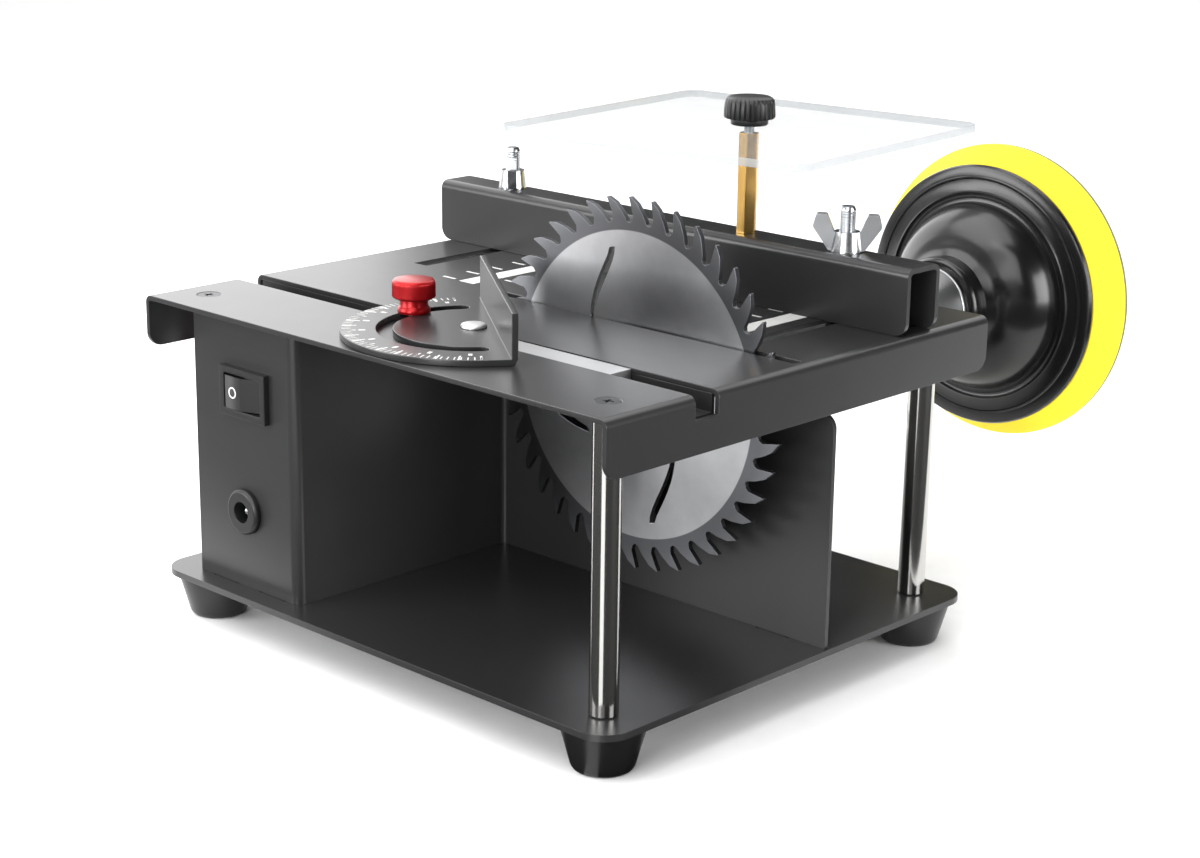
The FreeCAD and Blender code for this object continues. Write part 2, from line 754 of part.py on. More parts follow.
def make_motor_case():
    """Steel can, end cap, bearings, magnets, brushes and terminals."""
    inner = "(motor_radius - motor_wall)"
    face = f"({PANEL_BACK} + motor_face)"
    seat = "bearing_radius"
    can = on_shaft("motor_can", [
        (seat, f"{PANEL_BACK} - 2"),
        ("bearing_radius + 0.9", f"{PANEL_BACK} - 2"),
        ("bearing_radius + 0.9", PANEL_BACK),
        ("motor_radius", PANEL_BACK),
        ("motor_radius", MOTOR_BACK),
        (inner, MOTOR_BACK),
        (inner, face),
        ("bearing_radius + 1.5", face),
        ("bearing_radius + 1.5", f"{PANEL_BACK} - 2 + bearing_width"),
        (seat, f"{PANEL_BACK} - 2 + bearing_width"),
    ])
    drill = new_sketch(can, "XY_Plane", PANEL_BACK)
    for side in ("-", "+"):
        circle(drill, f"{side}motor_screw_circle", "0", "motor_screw_radius")
    pocket(can, drill, "motor_face * 2 + 0.2", middle=True)
    node(can, "motor_can")

    cap = on_shaft("motor_end_cap", [
        (seat, f"{CAP_BACK} - 1"),
        (f"{inner} - 0.1", f"{CAP_BACK} - end_cap_length - 1"),
        (f"{inner} - 0.1", MOTOR_BACK),
        ("motor_radius", MOTOR_BACK),
        ("motor_radius", CAP_BACK),
        ("bearing_radius + 2", CAP_BACK),
        ("bearing_radius + 2", f"{CAP_BACK} + end_cap_boss_length"),
        (seat, f"{CAP_BACK} + end_cap_boss_length"),
    ])
    node(cap, "motor_end_cap")

    bore = "(shaft_radius + running_gap)"
    for name, start in (("front_bearing", f"{PANEL_BACK} - 2"),
                        ("rear_bearing", f"{CAP_BACK} + end_cap_boss_length - bearing_width")):
        ring = on_shaft(name, [
            (bore, start),
            ("bearing_radius", start),
            ("bearing_radius", f"{start} + bearing_width"),
            (bore, f"{start} + bearing_width"),
        ])
        node(ring, name)

    magnet = on_shaft("magnet", [
        ("(armature_radius + air_gap)", f"{PANEL_BACK} + armature_start"),
        (inner, f"{PANEL_BACK} + armature_start"),
        (inner, f"{PANEL_BACK} + armature_start + armature_length"),
        ("(armature_radius + air_gap)", f"{PANEL_BACK} + armature_start + armature_length"),
    ])
    magnet.Tip.Midplane = True
    bind(magnet.Tip, "Angle", "magnet_span")
    doc.recompute()
    other = mirrored(magnet, FreeCAD.Vector(1, 0, 0), "magnet_other", "shaft_x")
    node(group("magnets", [magnet, other]), "field_magnets")

    commutator_middle = f"({PANEL_BACK} + armature_start + armature_length + winding_reach + commutator_length / 2)"
    brushes = []
    for name, z in (("brush_top", f"{SHAFT_Z} + commutator_radius + 0.05"),
                    ("brush_low", f"{SHAFT_Z} - commutator_radius - 0.05 - brush_length")):
        brushes.append(box(name, ("brush_width", "brush_width", "brush_length"),
                           ("shaft_x - brush_width / 2", f"{commutator_middle} - brush_width / 2", z)))
    node(group("brush_pair", brushes), "carbon_brushes")

    terminals = []
    for name, x in (("terminal_left", "shaft_x - terminal_offset - 2.4"), ("terminal_right", "shaft_x + terminal_offset - 2.4")):
        terminals.append(box(name, ("4.8", "terminal_length", "0.8"),
                             (x, CAP_BACK, f"{SHAFT_Z} - 0.4")))
    node(group("terminal_pair", terminals), "motor_terminals")

    screw = turned("motor_screw", [
        ("0", "panel_place - 2"),
        ("motor_screw_head", "panel_place - 2"),
        ("motor_screw_head", "panel_place"),
        ("motor_screw_radius", "panel_place"),
        ("motor_screw_radius", f"{PANEL_BACK} + motor_face"),
        ("0", f"{PANEL_BACK} + motor_face"),
    ], "shaft_x + motor_screw_circle", "0", SHAFT_Z, along_y=True)
    twin = mirrored(screw, FreeCAD.Vector(1, 0, 0), "motor_screw_twin", "shaft_x")
    node(group("motor_screw_pair", [screw, twin]), "motor_screws")


# ---------------------------------------------------------------- everything on the shaft
ARBOR_BACK = f"({BLADE_BACK} + arbor_flange_length)"
STACK_FRONT = f"({BLADE_FRONT} - clamp_washer_length)"
THREAD_TIP = f"({BLADE_FRONT} - arbor_thread_length)"
ADAPTER_FRONT = "(pad_mouth_place - adapter_length)"
SHANK_FRONT = f"({ADAPTER_FRONT} - adapter_shank_length)"


def make_rotor():
    """Shaft, armature and commutator."""
    shaft_end = f"({SHANK_FRONT} + adapter_shank_length)"
    shaft = on_shaft("motor_shaft", [
        ("0", BLADE_BACK),
        ("shaft_radius", BLADE_BACK),
        ("shaft_radius", shaft_end),
        ("0", shaft_end),
    ])
    node(shaft, "motor_shaft")

    start = f"({PANEL_BACK} + armature_start)"
    end = f"({start} + armature_length)"
    core = on_shaft("armature_core", [
        ("shaft_radius", start),
        ("armature_radius", start),
        ("armature_radius", end),
        ("shaft_radius", end),
    ])
    groove = new_sketch(core, "XY_Plane", start)
    rectangle(groove, "armature_radius - pole_slot_depth", "-pole_slot_width / 2",
              "armature_radius + 1", "pole_slot_width / 2")
    cutter = pocket(core, groove, "armature_length * 2 + 1", middle=True)
    polar(core, cutter, "pole_count")
    node(core, "armature_core")

    windings = new_body("armature_windings")
    place(windings, "shaft_x", "0", SHAFT_Z, along_y=True)
    bars = new_sketch(windings, "XY_Plane", f"{start} - winding_reach")
    circle(bars, "0", "0", "armature_radius - 1.2")
    circle(bars, "0", "0", "shaft_radius + 1")
    pad(windings, bars, "armature_length + 2 * winding_reach")
    room = new_sketch(windings, "XY_Plane", start)
    circle(room, "0", "0", "armature_radius + 1")
    pocket(windings, room, "armature_length", back=True)
    wire = new_sketch(windings, "XY_Plane", f"{start} - 0.5")
    rectangle(wire, "armature_radius - pole_slot_depth + 0.1", "-pole_slot_width / 2 + 0.1",
              "armature_radius - 1.3", "pole_slot_width / 2 - 0.1")
    strand = pad(windings, wire, "armature_length + 1")
    polar(windings, strand, "pole_count")
    node(windings, "armature_windings")

    drum_start = f"({end} + winding_reach + 0.2)"
    drum = on_shaft("commutator", [
        ("shaft_radius", drum_start),
        ("commutator_radius", drum_start),
        ("commutator_radius", f"{drum_start} + commutator_length"),
        ("shaft_radius", f"{drum_start} + commutator_length"),
    ])
    node(drum, "commutator")


def make_arbor():
    """Blade arbor, washer and nut."""
    hole_end = f"({ARBOR_BACK} + 4.5)"
    arbor = on_shaft("blade_arbor", [
        ("0", THREAD_TIP),
        ("arbor_thread_radius", THREAD_TIP),
        ("arbor_thread_radius", f"{BLADE_BACK} - arbor_pilot_length + blade_plate"),
        ("blade_bore_radius - running_gap", f"{BLADE_BACK} - arbor_pilot_length + blade_plate"),
        ("blade_bore_radius - running_gap", BLADE_BACK),
        ("arbor_flange_radius", BLADE_BACK),
        ("arbor_flange_radius", ARBOR_BACK),
        ("arbor_sleeve_radius", ARBOR_BACK),
        ("arbor_sleeve_radius", hole_end),
        ("shaft_radius", hole_end),
        ("shaft_radius", BLADE_BACK),
        ("0", BLADE_BACK),
    ])
    node(arbor, "blade_arbor")

    washer = on_shaft("clamp_washer", [
        ("arbor_thread_radius + 0.1", STACK_FRONT),
        ("clamp_washer_radius", STACK_FRONT),
        ("clamp_washer_radius", BLADE_FRONT),
        ("arbor_thread_radius + 0.1", BLADE_FRONT),
    ])
    node(washer, "clamp_washer")

    hexagon = prism("nut_blank", "arbor_nut_flats", "arbor_nut_length",
                    "shaft_x", f"{STACK_FRONT} - arbor_nut_length", SHAFT_Z, along_y=True)
    hole = cylinder("nut_hole", "arbor_thread_radius", "arbor_nut_length + 2",
                    "shaft_x", f"{STACK_FRONT} - arbor_nut_length - 1", SHAFT_Z, along_y=True)
    node(cut("arbor_nut", hexagon, hole), "arbor_nut")


def polar_point(radius, degrees):
    """A sketch corner as formulas from a radius and an angle of the tooth pitch."""
    return (f"({radius}) * cos({degrees})", f"({radius}) * sin({degrees})")


def make_blade():
    """Saw blade: one gullet and one relief slot, each repeated round the plate."""
    body = new_body("saw_blade")
    place(body, "shaft_x", "0", SHAFT_Z, along_y=True)
    disc = new_sketch(body, "XY_Plane", BLADE_FRONT)
    circle(disc, "0", "0", "blade_radius")
    circle(disc, "0", "0", "blade_bore_radius")
    pad(body, disc, "blade_plate")

    # seen from the switch side the teeth lean anticlockwise; the sketch is seen from behind
    pitch = "360 / tooth_count"
    turn = "tooth_turn"
    root = "blade_radius - tooth_depth"
    gullet = new_sketch(body, "XY_Plane", BLADE_FRONT)
    outline(gullet, [
        polar_point("blade_radius + 1.5", turn),
        polar_point("blade_radius", turn),
        polar_point(f"{root} + 2", f"({turn} + 0.2 * {pitch})"),
        polar_point(f"{root} + 0.4", f"({turn} + 0.12 * {pitch})"),
        polar_point(root, turn),
        polar_point(f"{root} + 0.4", f"({turn} - 0.12 * {pitch})"),
        polar_point(f"{root} + 2.6", f"({turn} - 0.3 * {pitch})"),
        polar_point("blade_radius - 1.7", f"({turn} - 0.62 * {pitch})"),
        polar_point("blade_radius", f"({turn} - 0.94 * {pitch})"),
        polar_point("blade_radius + 1.5", f"({turn} - 0.94 * {pitch})"),
    ])
    cutter = pocket(body, gullet, "blade_plate * 2 + 1", middle=True)
    polar(body, cutter, "tooth_count")

    # each relief slot curls outward and is widest at its middle
    relief = new_sketch(body, "XY_Plane", BLADE_FRONT)
    steps = [k / 8 for k in range(9)]
    edges = []
    for side, order in (("-", steps), ("+", reversed(steps))):
        for t in order:
            radius = f"(relief_slot_inner + (relief_slot_outer - relief_slot_inner) * {t})"
            half = f"(relief_slot_end / 2 + relief_slot_belly / 2 * {math.sin(math.pi * t):.4f})"
            middle = f"(relief_slot_turn - relief_slot_sweep * {(1 - t) ** 1.5:.4f})"
            edges.append(polar_point(radius, f"({middle} {side} 57.3 * {half} / {radius})"))
    outline(relief, edges)
    slot = pocket(body, relief, "blade_plate * 2 + 1", middle=True)
    polar(body, slot, "4")
    node(body, "saw_blade")


def make_pad():
    """Adapter, moulded hub, foam and hook face of the sanding pad."""
    mouth = "pad_mouth_place"
    back = "pad_back_place"
    stud_hole = "adapter_stud_radius"
    adapter = on_shaft("pad_adapter", [
        ("shaft_radius", SHANK_FRONT),
        ("adapter_shank_radius", SHANK_FRONT),
        ("adapter_shank_radius", ADAPTER_FRONT),
        ("adapter_radius - 1", ADAPTER_FRONT),
        ("adapter_radius", f"{ADAPTER_FRONT} + 1"),
        ("adapter_radius", f"{mouth} - 1"),
        ("adapter_radius - 1", mouth),
        (stud_hole, mouth),
        (stud_hole, f"{mouth} + adapter_stud_length"),
        ("0", f"{mouth} + adapter_stud_length"),
        ("0", ADAPTER_FRONT),
        ("shaft_radius", ADAPTER_FRONT),
    ])
    node(adapter, "pad_adapter")

    foam_front = f"({back} - hook_length - pad_foam_length)"
    hub = on_shaft("pad_hub", [
        (stud_hole, mouth),
        ("hub_neck_radius - 1.5", mouth),
        ("hub_neck_radius", f"{mouth} + 1.5"),
        ("hub_neck_radius", f"{mouth} + 9"),
        ("hub_neck_radius + 3", f"{mouth} + 12"),
        ("hub_dome_radius - 6", f"{mouth} + 15"),
        ("hub_dome_radius - 1.5", f"{mouth} + 20"),
        ("hub_dome_radius", f"{mouth} + 24.5"),
        ("hub_rim_radius", f"{foam_front} - 2.4"),
        ("hub_rim_radius + 0.6", f"{foam_front} - 1.4"),
        ("hub_rim_radius", foam_front),
        (stud_hole, foam_front),
    ])
    node(hub, "pad_hub")

    foam = on_shaft("pad_foam", [
        ("0", foam_front),
        ("hub_rim_radius + 0.5", foam_front),
        ("pad_radius", f"{foam_front} + pad_foam_length * 0.9"),
        ("pad_radius", f"{foam_front} + pad_foam_length"),
        ("0", f"{foam_front} + pad_foam_length"),
    ])
    node(foam, "pad_foam")

    hook = on_shaft("pad_hook_face", [
        ("0", f"{back} - hook_length"),
        ("pad_radius", f"{back} - hook_length"),
        ("pad_radius", back),
        ("0", back),
    ])
    node(hook, "pad_hook_face")


# ---------------------------------------------------------------- fence and shield
def make_fence():
    """Fence: a sheet folded to an upside-down channel, with two bolt holes and a pillar hole."""
    near, far = "fence_place", "(fence_place + fence_width)"
    left = "(fence_centre - fence_length / 2)"
    body = new_body("rip_fence")
    sketch = new_sketch(body, "YZ_Plane", left)
    outline(sketch, [
        (near, FENCE_BOTTOM),
        (f"{near} + fence_sheet", FENCE_BOTTOM),
        (f"{near} + fence_sheet", f"{FENCE_TOP} - fence_sheet"),
        (f"{far} - fence_sheet", f"{FENCE_TOP} - fence_sheet"),
        (f"{far} - fence_sheet", FENCE_BOTTOM),
        (far, FENCE_BOTTOM),
        (far, FENCE_TOP),
        (near, FENCE_TOP),
    ])
    pad(body, sketch, "fence_length")
    fillet(body, "fence_bend - fence_sheet",
           edge_at("x", y=[f"{near} + fence_sheet", f"{far} - fence_sheet"], z=[f"{FENCE_TOP} - fence_sheet"]))
    fillet(body, "fence_bend", edge_at("x", y=[near, far], z=[FENCE_TOP]))
    fillet(body, "fence_corner",
           edge_at("y", x=[left, f"{left} + fence_length"], z=[FENCE_BOTTOM]))
    holes = new_sketch(body, "XY_Plane", FENCE_TOP)
    for x in (BOLT_LEFT, BOLT_RIGHT):
        circle(holes, x, FENCE_MIDDLE, "bolt_radius + bolt_hole_gap")
    circle(holes, "pillar_x", FENCE_MIDDLE, "pillar_screw_radius + 0.2")
    pocket(body, holes, "fence_sheet * 4", middle=True)
    node(body, "rip_fence")

    half = "bolt_head_width / 2"
    head = box("bolt_head", ("bolt_head_width", "bolt_head_width", "bolt_head_length"),
               (f"{BOLT_RIGHT} - {half}", f"{FENCE_MIDDLE} - {half}",
                f"{TABLE_UNDERSIDE} - bolt_head_length - 0.1"))
    stem = cylinder("bolt_stem", "bolt_radius", "bolt_tip_height + table_sheet + 0.1 + 0.2",
                    BOLT_RIGHT, FENCE_MIDDLE, f"{TABLE_UNDERSIDE} - 0.1 - 0.2")
    bolt = fuse("fence_bolt", [head, stem])
    twin = mirrored(bolt, FreeCAD.Vector(1, 0, 0), "fence_bolt_twin", "bolt_centre")
    node(group("fence_bolt_pair", [bolt, twin]), "fence_bolts")


def make_wing_nut(label, x, turn):
    """Wing nut: turned hub with two flat ears."""
    body = new_body(label)
    place(body, x, FENCE_MIDDLE, f"{FENCE_TOP} + 0.05", turn=turn)
    hub = new_sketch(body, "XZ_Plane")
    bore = "bolt_radius + running_gap"
    outline(hub, [
        (bore, "0"),
        ("wing_hub_radius", "0"),
        ("wing_hub_radius - 0.8", "wing_hub_length"),
        (bore, "wing_hub_length"),
    ])
    turned_hub = body.newObject("PartDesign::Revolution", f"{label}_turned")
    turned_hub.Profile = hub
    turned_hub.ReferenceAxis = (hub, ["V_Axis"])
    turned_hub.Angle = 360
    doc.recompute()
    root = "wing_hub_radius - 1.3"
    for side in ("", "-"):
        ear = new_sketch(body, "XZ_Plane")
        outline(ear, [
            (f"{side}({root})", "0.4"),
            (f"{side}(wing_hub_radius + 0.6)", "0.4"),
            (f"{side}(wing_span / 2)", "wing_height * 0.66"),
            (f"{side}(wing_span / 2 - 0.9)", "wing_height"),
            (f"{side}(wing_span / 2 - 4.2)", "wing_height"),
            (f"{side}({root})", "wing_hub_length - 1"),
        ])
        pad(body, ear, "wing_sheet", middle=True)
    fillet(body, "0.9", lambda edge: runs_along(edge, "y")
           and edge.valueAt(edge.FirstParameter).z > number("wing_height * 0.6"))
    return node(body, label)


def make_shield():
    """Brass pillar with its screw, the clear shield, and the knob that clamps it."""
    blank = prism("pillar_blank", "pillar_flats", "pillar_height", "pillar_x", FENCE_MIDDLE, FENCE_TOP)
    bore = cylinder("pillar_bore", "pillar_screw_radius", "pillar_height + 2",
                    "pillar_x", FENCE_MIDDLE, f"{FENCE_TOP} - 1")
    node(cut("shield_pillar", blank, bore), "shield_pillar")

    head = cylinder("pillar_screw_top", "pillar_screw_head", "1.8",
                    "pillar_x", FENCE_MIDDLE, f"{FENCE_TOP} - fence_sheet - 1.8")
    stem = cylinder("pillar_screw_stem", "pillar_screw_radius", "pillar_screw_reach + fence_sheet + 0.2",
                    "pillar_x", FENCE_MIDDLE, f"{FENCE_TOP} - fence_sheet - 0.2")
    node(fuse("pillar_screw", [head, stem]), "pillar_screw")

    plate = new_body("clear_shield")
    place(plate, "pillar_x", FENCE_MIDDLE, f"{PILLAR_TOP} + 0.05", turn="shield_turn")
    sketch = new_sketch(plate, "XY_Plane")
    rectangle(sketch, "-shield_length / 2 - shield_offset", "-shield_width / 2",
              "shield_length / 2 - shield_offset", "shield_width / 2")
    circle(sketch, "0", "0", "pillar_screw_radius")
    pad(plate, sketch, "shield_thickness - 0.1")
    fillet(plate, "shield_corner", lambda edge: runs_along(edge, "z"))
    node(plate, "clear_shield")

    knob = turned("shield_knob", [
        ("pillar_screw_radius", "0"),
        ("shield_knob_collar", "0"),
        ("shield_knob_collar", "1.8"),
        ("shield_knob_radius", "2.6"),
        ("shield_knob_radius - 0.5", "shield_knob_height - 1"),
        ("shield_knob_radius - 1.5", "shield_knob_height"),
        ("0", "shield_knob_height + 0.4"),
        ("0", "shield_knob_height - 2"),
        ("pillar_screw_radius", "shield_knob_height - 2"),
    ], "pillar_x", FENCE_MIDDLE, SHIELD_TOP)
    node(knob, "shield_knob")
    stud = cylinder("shield_knob_stud", "pillar_screw_radius - running_gap",
                    "shield_knob_height - 2 + shield_thickness + 8",
                    "pillar_x", FENCE_MIDDLE, f"{PILLAR_TOP} - 8")
    node(stud, "shield_knob_stud")


# ---------------------------------------------------------------- mitre gauge
def make_gauge():
    """Slide bar, swivelling protractor with its upright face, pivot, stud and knob."""
    bar = new_body("mitre_bar")
    sketch = new_sketch(bar, "YZ_Plane", "bar_end - bar_length")
    side = "mitre_slot_width / 2 - bar_side_gap"
    rectangle(sketch, f"mitre_slot_place - ({side})", f"{GROOVE_FLOOR} + bar_floor_gap",
              f"mitre_slot_place + {side}", f"{TABLE_TOP} - bar_top_gap")
    pad(bar, sketch, "bar_length")
    holes = new_sketch(bar, "XY_Plane", TABLE_TOP)
    circle(holes, "gauge_pivot_x", "mitre_slot_place", "pivot_pin_radius")
    circle(holes, KNOB_X, "mitre_slot_place", "gauge_stud_radius")
    pocket(bar, holes)
    node(bar, "mitre_bar")

    plate = new_body("protractor")
    place(plate, "gauge_pivot_x", "mitre_slot_place", f"{TABLE_TOP} + 0.05", turn="gauge_turn")
    outline_sketch = new_sketch(plate, "XY_Plane")
    reach, radius = number("gauge_reach"), number("gauge_radius")
    arc = Part.ArcOfCircle(Part.Circle(FreeCAD.Vector(0, 0, 0), FreeCAD.Vector(0, 0, 1), radius),
                           math.pi / 2, 3 * math.pi / 2)
    outline_sketch.addGeometry(arc, False)
    corners = [(0, -radius), (reach, -radius), (reach, radius), (0, radius)]
    points = [FreeCAD.Vector(x, y, 0) for x, y in corners]
    for start, end in zip(points, points[1:]):
        outline_sketch.addGeometry(Part.LineSegment(start, end), False)
    for joined in ((0, 2, 1, 1), (1, 2, 2, 1), (2, 2, 3, 1), (3, 2, 0, 1)):
        outline_sketch.addConstraint(Sketcher.Constraint("Coincident", *joined))
    outline_sketch.addConstraint(Sketcher.Constraint("Coincident", 0, 3, -1, 1))
    outline_sketch.addConstraint(Sketcher.Constraint("PointOnObject", 0, 1, -2))
    outline_sketch.addConstraint(Sketcher.Constraint("PointOnObject", 0, 2, -2))
    for line, kind in ((1, "Horizontal"), (2, "Vertical"), (3, "Horizontal")):
        outline_sketch.addConstraint(Sketcher.Constraint(kind, line))
    tied = outline_sketch.addConstraint(Sketcher.Constraint("Radius", 0, radius))
    bind(outline_sketch, f"Constraints[{tied}]", "gauge_radius")
    tied = outline_sketch.addConstraint(Sketcher.Constraint("DistanceX", 1, 1, 1, 2, reach))
    bind(outline_sketch, f"Constraints[{tied}]", "gauge_reach")
    pad(plate, outline_sketch, "gauge_sheet")

    wall = new_sketch(plate, "XY_Plane")
    rectangle(wall, "gauge_reach", "-gauge_radius", "gauge_reach + gauge_sheet", "gauge_radius")
    pad(plate, wall, "gauge_wall_height")

    def bend(edge):
        middle = edge.valueAt((edge.FirstParameter + edge.LastParameter) / 2)
        at_foot = abs(middle.x - number("gauge_reach + gauge_sheet")) < 0.02 and abs(middle.z) < 0.02
        return at_foot and edge.Length > number("gauge_radius")

    fillet(plate, "gauge_bend", bend)

    hole = new_sketch(plate, "XY_Plane")
    circle(hole, "0", "0", "pivot_pin_radius + running_gap")
    pocket(plate, hole, "gauge_sheet * 3", middle=True)
    slot = new_sketch(plate, "XY_Plane")
    middle, half = number("gauge_arc_radius"), number("gauge_arc_width") / 2
    span = math.radians(number("gauge_arc_half"))
    low, high = math.pi - span, math.pi + span
    normal = FreeCAD.Vector(0, 0, 1)
    centre = FreeCAD.Vector(0, 0, 0)
    slot.addGeometry(Part.ArcOfCircle(Part.Circle(centre, normal, middle + half), low, high), False)
    slot.addGeometry(Part.ArcOfCircle(Part.Circle(centre, normal, middle - half), low, high), False)
    for angle, turn in ((low, -1), (high, 1)):
        end = FreeCAD.Vector(middle * math.cos(angle), middle * math.sin(angle), 0)
        sweep = (angle - math.pi, angle) if turn < 0 else (angle, angle + math.pi)
        slot.addGeometry(Part.ArcOfCircle(Part.Circle(end, normal, half), *sweep), False)
    for joined in ((0, 1, 2, 2), (1, 1, 2, 1), (0, 2, 3, 1), (1, 2, 3, 2)):
        slot.addConstraint(Sketcher.Constraint("Tangent", *joined))
    for index in (0, 1):
        slot.addConstraint(Sketcher.Constraint("Coincident", index, 3, -1, 1))
    for index, text in ((0, "gauge_arc_radius + gauge_arc_width / 2"),
                        (1, "gauge_arc_radius - gauge_arc_width / 2")):
        tied = slot.addConstraint(Sketcher.Constraint("Radius", index, number(text)))
        bind(slot, f"Constraints[{tied}]", text)
    for index, sign in ((2, ""), (3, "-")):
        text = f"{sign}gauge_arc_radius * sin(gauge_arc_half)"
        tied = slot.addConstraint(Sketcher.Constraint("DistanceY", -1, 1, index, 3, number(text)))
        bind(slot, f"Constraints[{tied}]", text)
    pocket(plate, slot, "gauge_sheet * 3", middle=True)
    node(plate, "protractor")

    pivot = turned("gauge_pivot", [
        ("0", f"{GROOVE_FLOOR} + 0.5"),
        ("pivot_pin_radius", f"{GROOVE_FLOOR} + 0.5"),
        ("pivot_pin_radius", f"{GAUGE_TOP} + 0.1"),
        ("pivot_head_radius", f"{GAUGE_TOP} + 0.1"),
        ("pivot_head_radius - 0.5", f"{GAUGE_TOP} + 0.1 + pivot_head_height * 0.7"),
        ("0", f"{GAUGE_TOP} + 0.1 + pivot_head_height"),
    ], "gauge_pivot_x", "mitre_slot_place")
    node(pivot, "gauge_pivot")

    stud = cylinder("gauge_stud", "gauge_stud_radius", f"{GAUGE_TOP} - {GROOVE_FLOOR} - 0.5 + gauge_stud_height * 0.8",
                    KNOB_X, "mitre_slot_place", f"{GROOVE_FLOOR} + 0.5")
    node(stud, "gauge_stud")

    hole = "gauge_stud_radius + running_gap"
    top = "gauge_knob_height"
    knob = turned("gauge_knob", [
        (hole, "0"),
        ("gauge_knob_base", "0"),
        ("gauge_knob_base", f"{top} * 0.14"),
        ("gauge_knob_neck", f"{top} * 0.2"),
        ("gauge_knob_neck", f"{top} * 0.42"),
        ("gauge_knob_radius - 0.8", f"{top} * 0.42"),
        ("gauge_knob_radius", f"{top} * 0.5"),
        ("gauge_knob_radius", f"{top} * 0.94"),
        ("gauge_knob_radius - 0.6", top),
        ("0", top),
        ("0", f"{top} * 0.85"),
        (hole, f"{top} * 0.85"),
    ], KNOB_X, "mitre_slot_place", f"{GAUGE_TOP} + 0.1")
    node(knob, "gauge_knob")


# ---------------------------------------------------------------- switch and power inlet
def make_switch():
    """Switch case with its bezel, the rocker in it and the tabs behind."""
    face = "switch_face_place"
    case = new_body("switch_case")
    bezel = new_sketch(case, "XZ_Plane", f"-({face})")
    rectangle(bezel, "switch_x - switch_bezel_length / 2", "switch_z - switch_bezel_width / 2",
              "switch_x + switch_bezel_length / 2", "switch_z + switch_bezel_width / 2")
    pad(case, bezel, "switch_bezel_thickness")
    inside = new_sketch(case, "XZ_Plane", f"-({face})")
    rectangle(inside, "switch_x - switch_body_length / 2", "switch_z - switch_body_width / 2",
              "switch_x + switch_body_length / 2", "switch_z + switch_body_width / 2")
    pad(case, inside, "switch_body_depth", back=True)
    window = new_sketch(case, "XZ_Plane", f"-({face}) + switch_bezel_thickness")
    wall = "switch_window_gap"
    rectangle(window,
              f"switch_x - switch_body_length / 2 + {wall}", f"switch_z - switch_body_width / 2 + {wall}",
              f"switch_x + switch_body_length / 2 - {wall}", f"switch_z + switch_body_width / 2 - {wall}")
    pocket(case, window, "switch_bezel_thickness + switch_body_depth - 2")
    node(case, "switch_case")

    rocker = new_body("rocker")
    place(rocker, "switch_x", f"{face} + rocker_sink", "switch_z")
    raised, foot = "(rocker_rest + rocker_tilt)", "(rocker_radius - 0.7)"
    side = new_sketch(rocker, "XY_Plane")
    outline(side, [
        (f"-{foot} * cos(12 - rocker_tilt / 2)", f"{foot} * sin(12 - rocker_tilt / 2)"),
        (f"-rocker_radius * cos{raised}", f"-rocker_radius * sin{raised}"),
        ("rocker_crown * sin(rocker_tilt / 2)", "-rocker_crown * cos(rocker_tilt / 2)"),
        ("rocker_radius * cos(rocker_rest)", "-rocker_radius * sin(rocker_rest)"),
        (f"{foot} * cos(12 + rocker_tilt / 2)", f"{foot} * sin(12 + rocker_tilt / 2)"),
        ("-rocker_keel * sin(rocker_tilt / 2)", "rocker_keel * cos(rocker_tilt / 2)"),
    ])
    pad(rocker, side, "switch_body_width - 2 * switch_window_gap - 2 * rocker_gap", middle=True)
    node(rocker, "rocker")

    tabs = []
    for name, shift in (("tab_left", "-5.2"), ("tab_right", "2.8")):
        tabs.append(box(name, ("2.4", "8", "0.8"),
                        (f"switch_x + {shift}", f"{face} + switch_body_depth", "switch_z - 0.4")))
    node(group("switch_tabs", tabs), "switch_terminals")


def make_jack():
    """Panel power inlet with its nut and contact pin."""
    face = "switch_face_place"
    body = turned("jack_body", [
        ("jack_bore", f"{face} - jack_flange_thickness"),
        ("jack_flange_radius - 0.8", f"{face} - jack_flange_thickness"),
        ("jack_flange_radius", f"{face} - jack_flange_thickness + 0.8"),
        ("jack_flange_radius", face),
        ("jack_thread_radius", face),
        ("jack_thread_radius", f"{face} + jack_depth"),
        ("jack_pin_radius", f"{face} + jack_depth"),
        ("jack_pin_radius", f"{face} + jack_depth - 2"),
        ("jack_bore", f"{face} + jack_depth - 2"),
    ], "jack_x", "0", "jack_z", along_y=True)
    node(body, "jack_body")
    pin = turned("jack_pin", [
        ("0", f"{face} - 0.6"),
        ("jack_pin_radius", f"{face}"),
        ("jack_pin_radius", f"{face} + jack_depth + 4"),
        ("0", f"{face} + jack_depth + 4"),
    ], "jack_x", "0", "jack_z", along_y=True)
    node(pin, "jack_pin")
    blank = prism("jack_nut_blank", "jack_nut_flats", "jack_nut_thickness",
                  "jack_x", SWITCH_INNER, "jack_z", along_y=True)
    hole = cylinder("jack_nut_hole", "jack_thread_radius", "jack_nut_thickness + 2",
                    "jack_x", f"{SWITCH_INNER} - 1", "jack_z", along_y=True)
    node(cut("jack_nut", blank, hole), "jack_nut")


# ---------------------------------------------------------------- wiring
def round_path(points):
    """Straight runs joined by arcs as large as the shorter run beside each corner allows."""
    edges = []
    start = points[0]
    for before, corner, after in zip(points, points[1:], points[2:]):
        back, ahead = before - corner, after - corner
        angle = math.pi - back.getAngle(ahead)
        radius = 0.45 * min(back.Length, ahead.Length) / math.tan(angle / 2)
        cut_back = radius * math.tan(angle / 2)
        back.normalize()
        ahead.normalize()
        first, last = corner + back * cut_back, corner + ahead * cut_back
        bisector = back + ahead
        bisector.normalize()
        middle = corner + bisector * (radius / math.cos(angle / 2) - radius)
        edges.append(Part.LineSegment(start, first).toShape())
        edges.append(Part.Arc(first, middle, last).toShape())
        start = last
    edges.append(Part.LineSegment(start, points[-1]).toShape())
    return Part.Wire(edges)


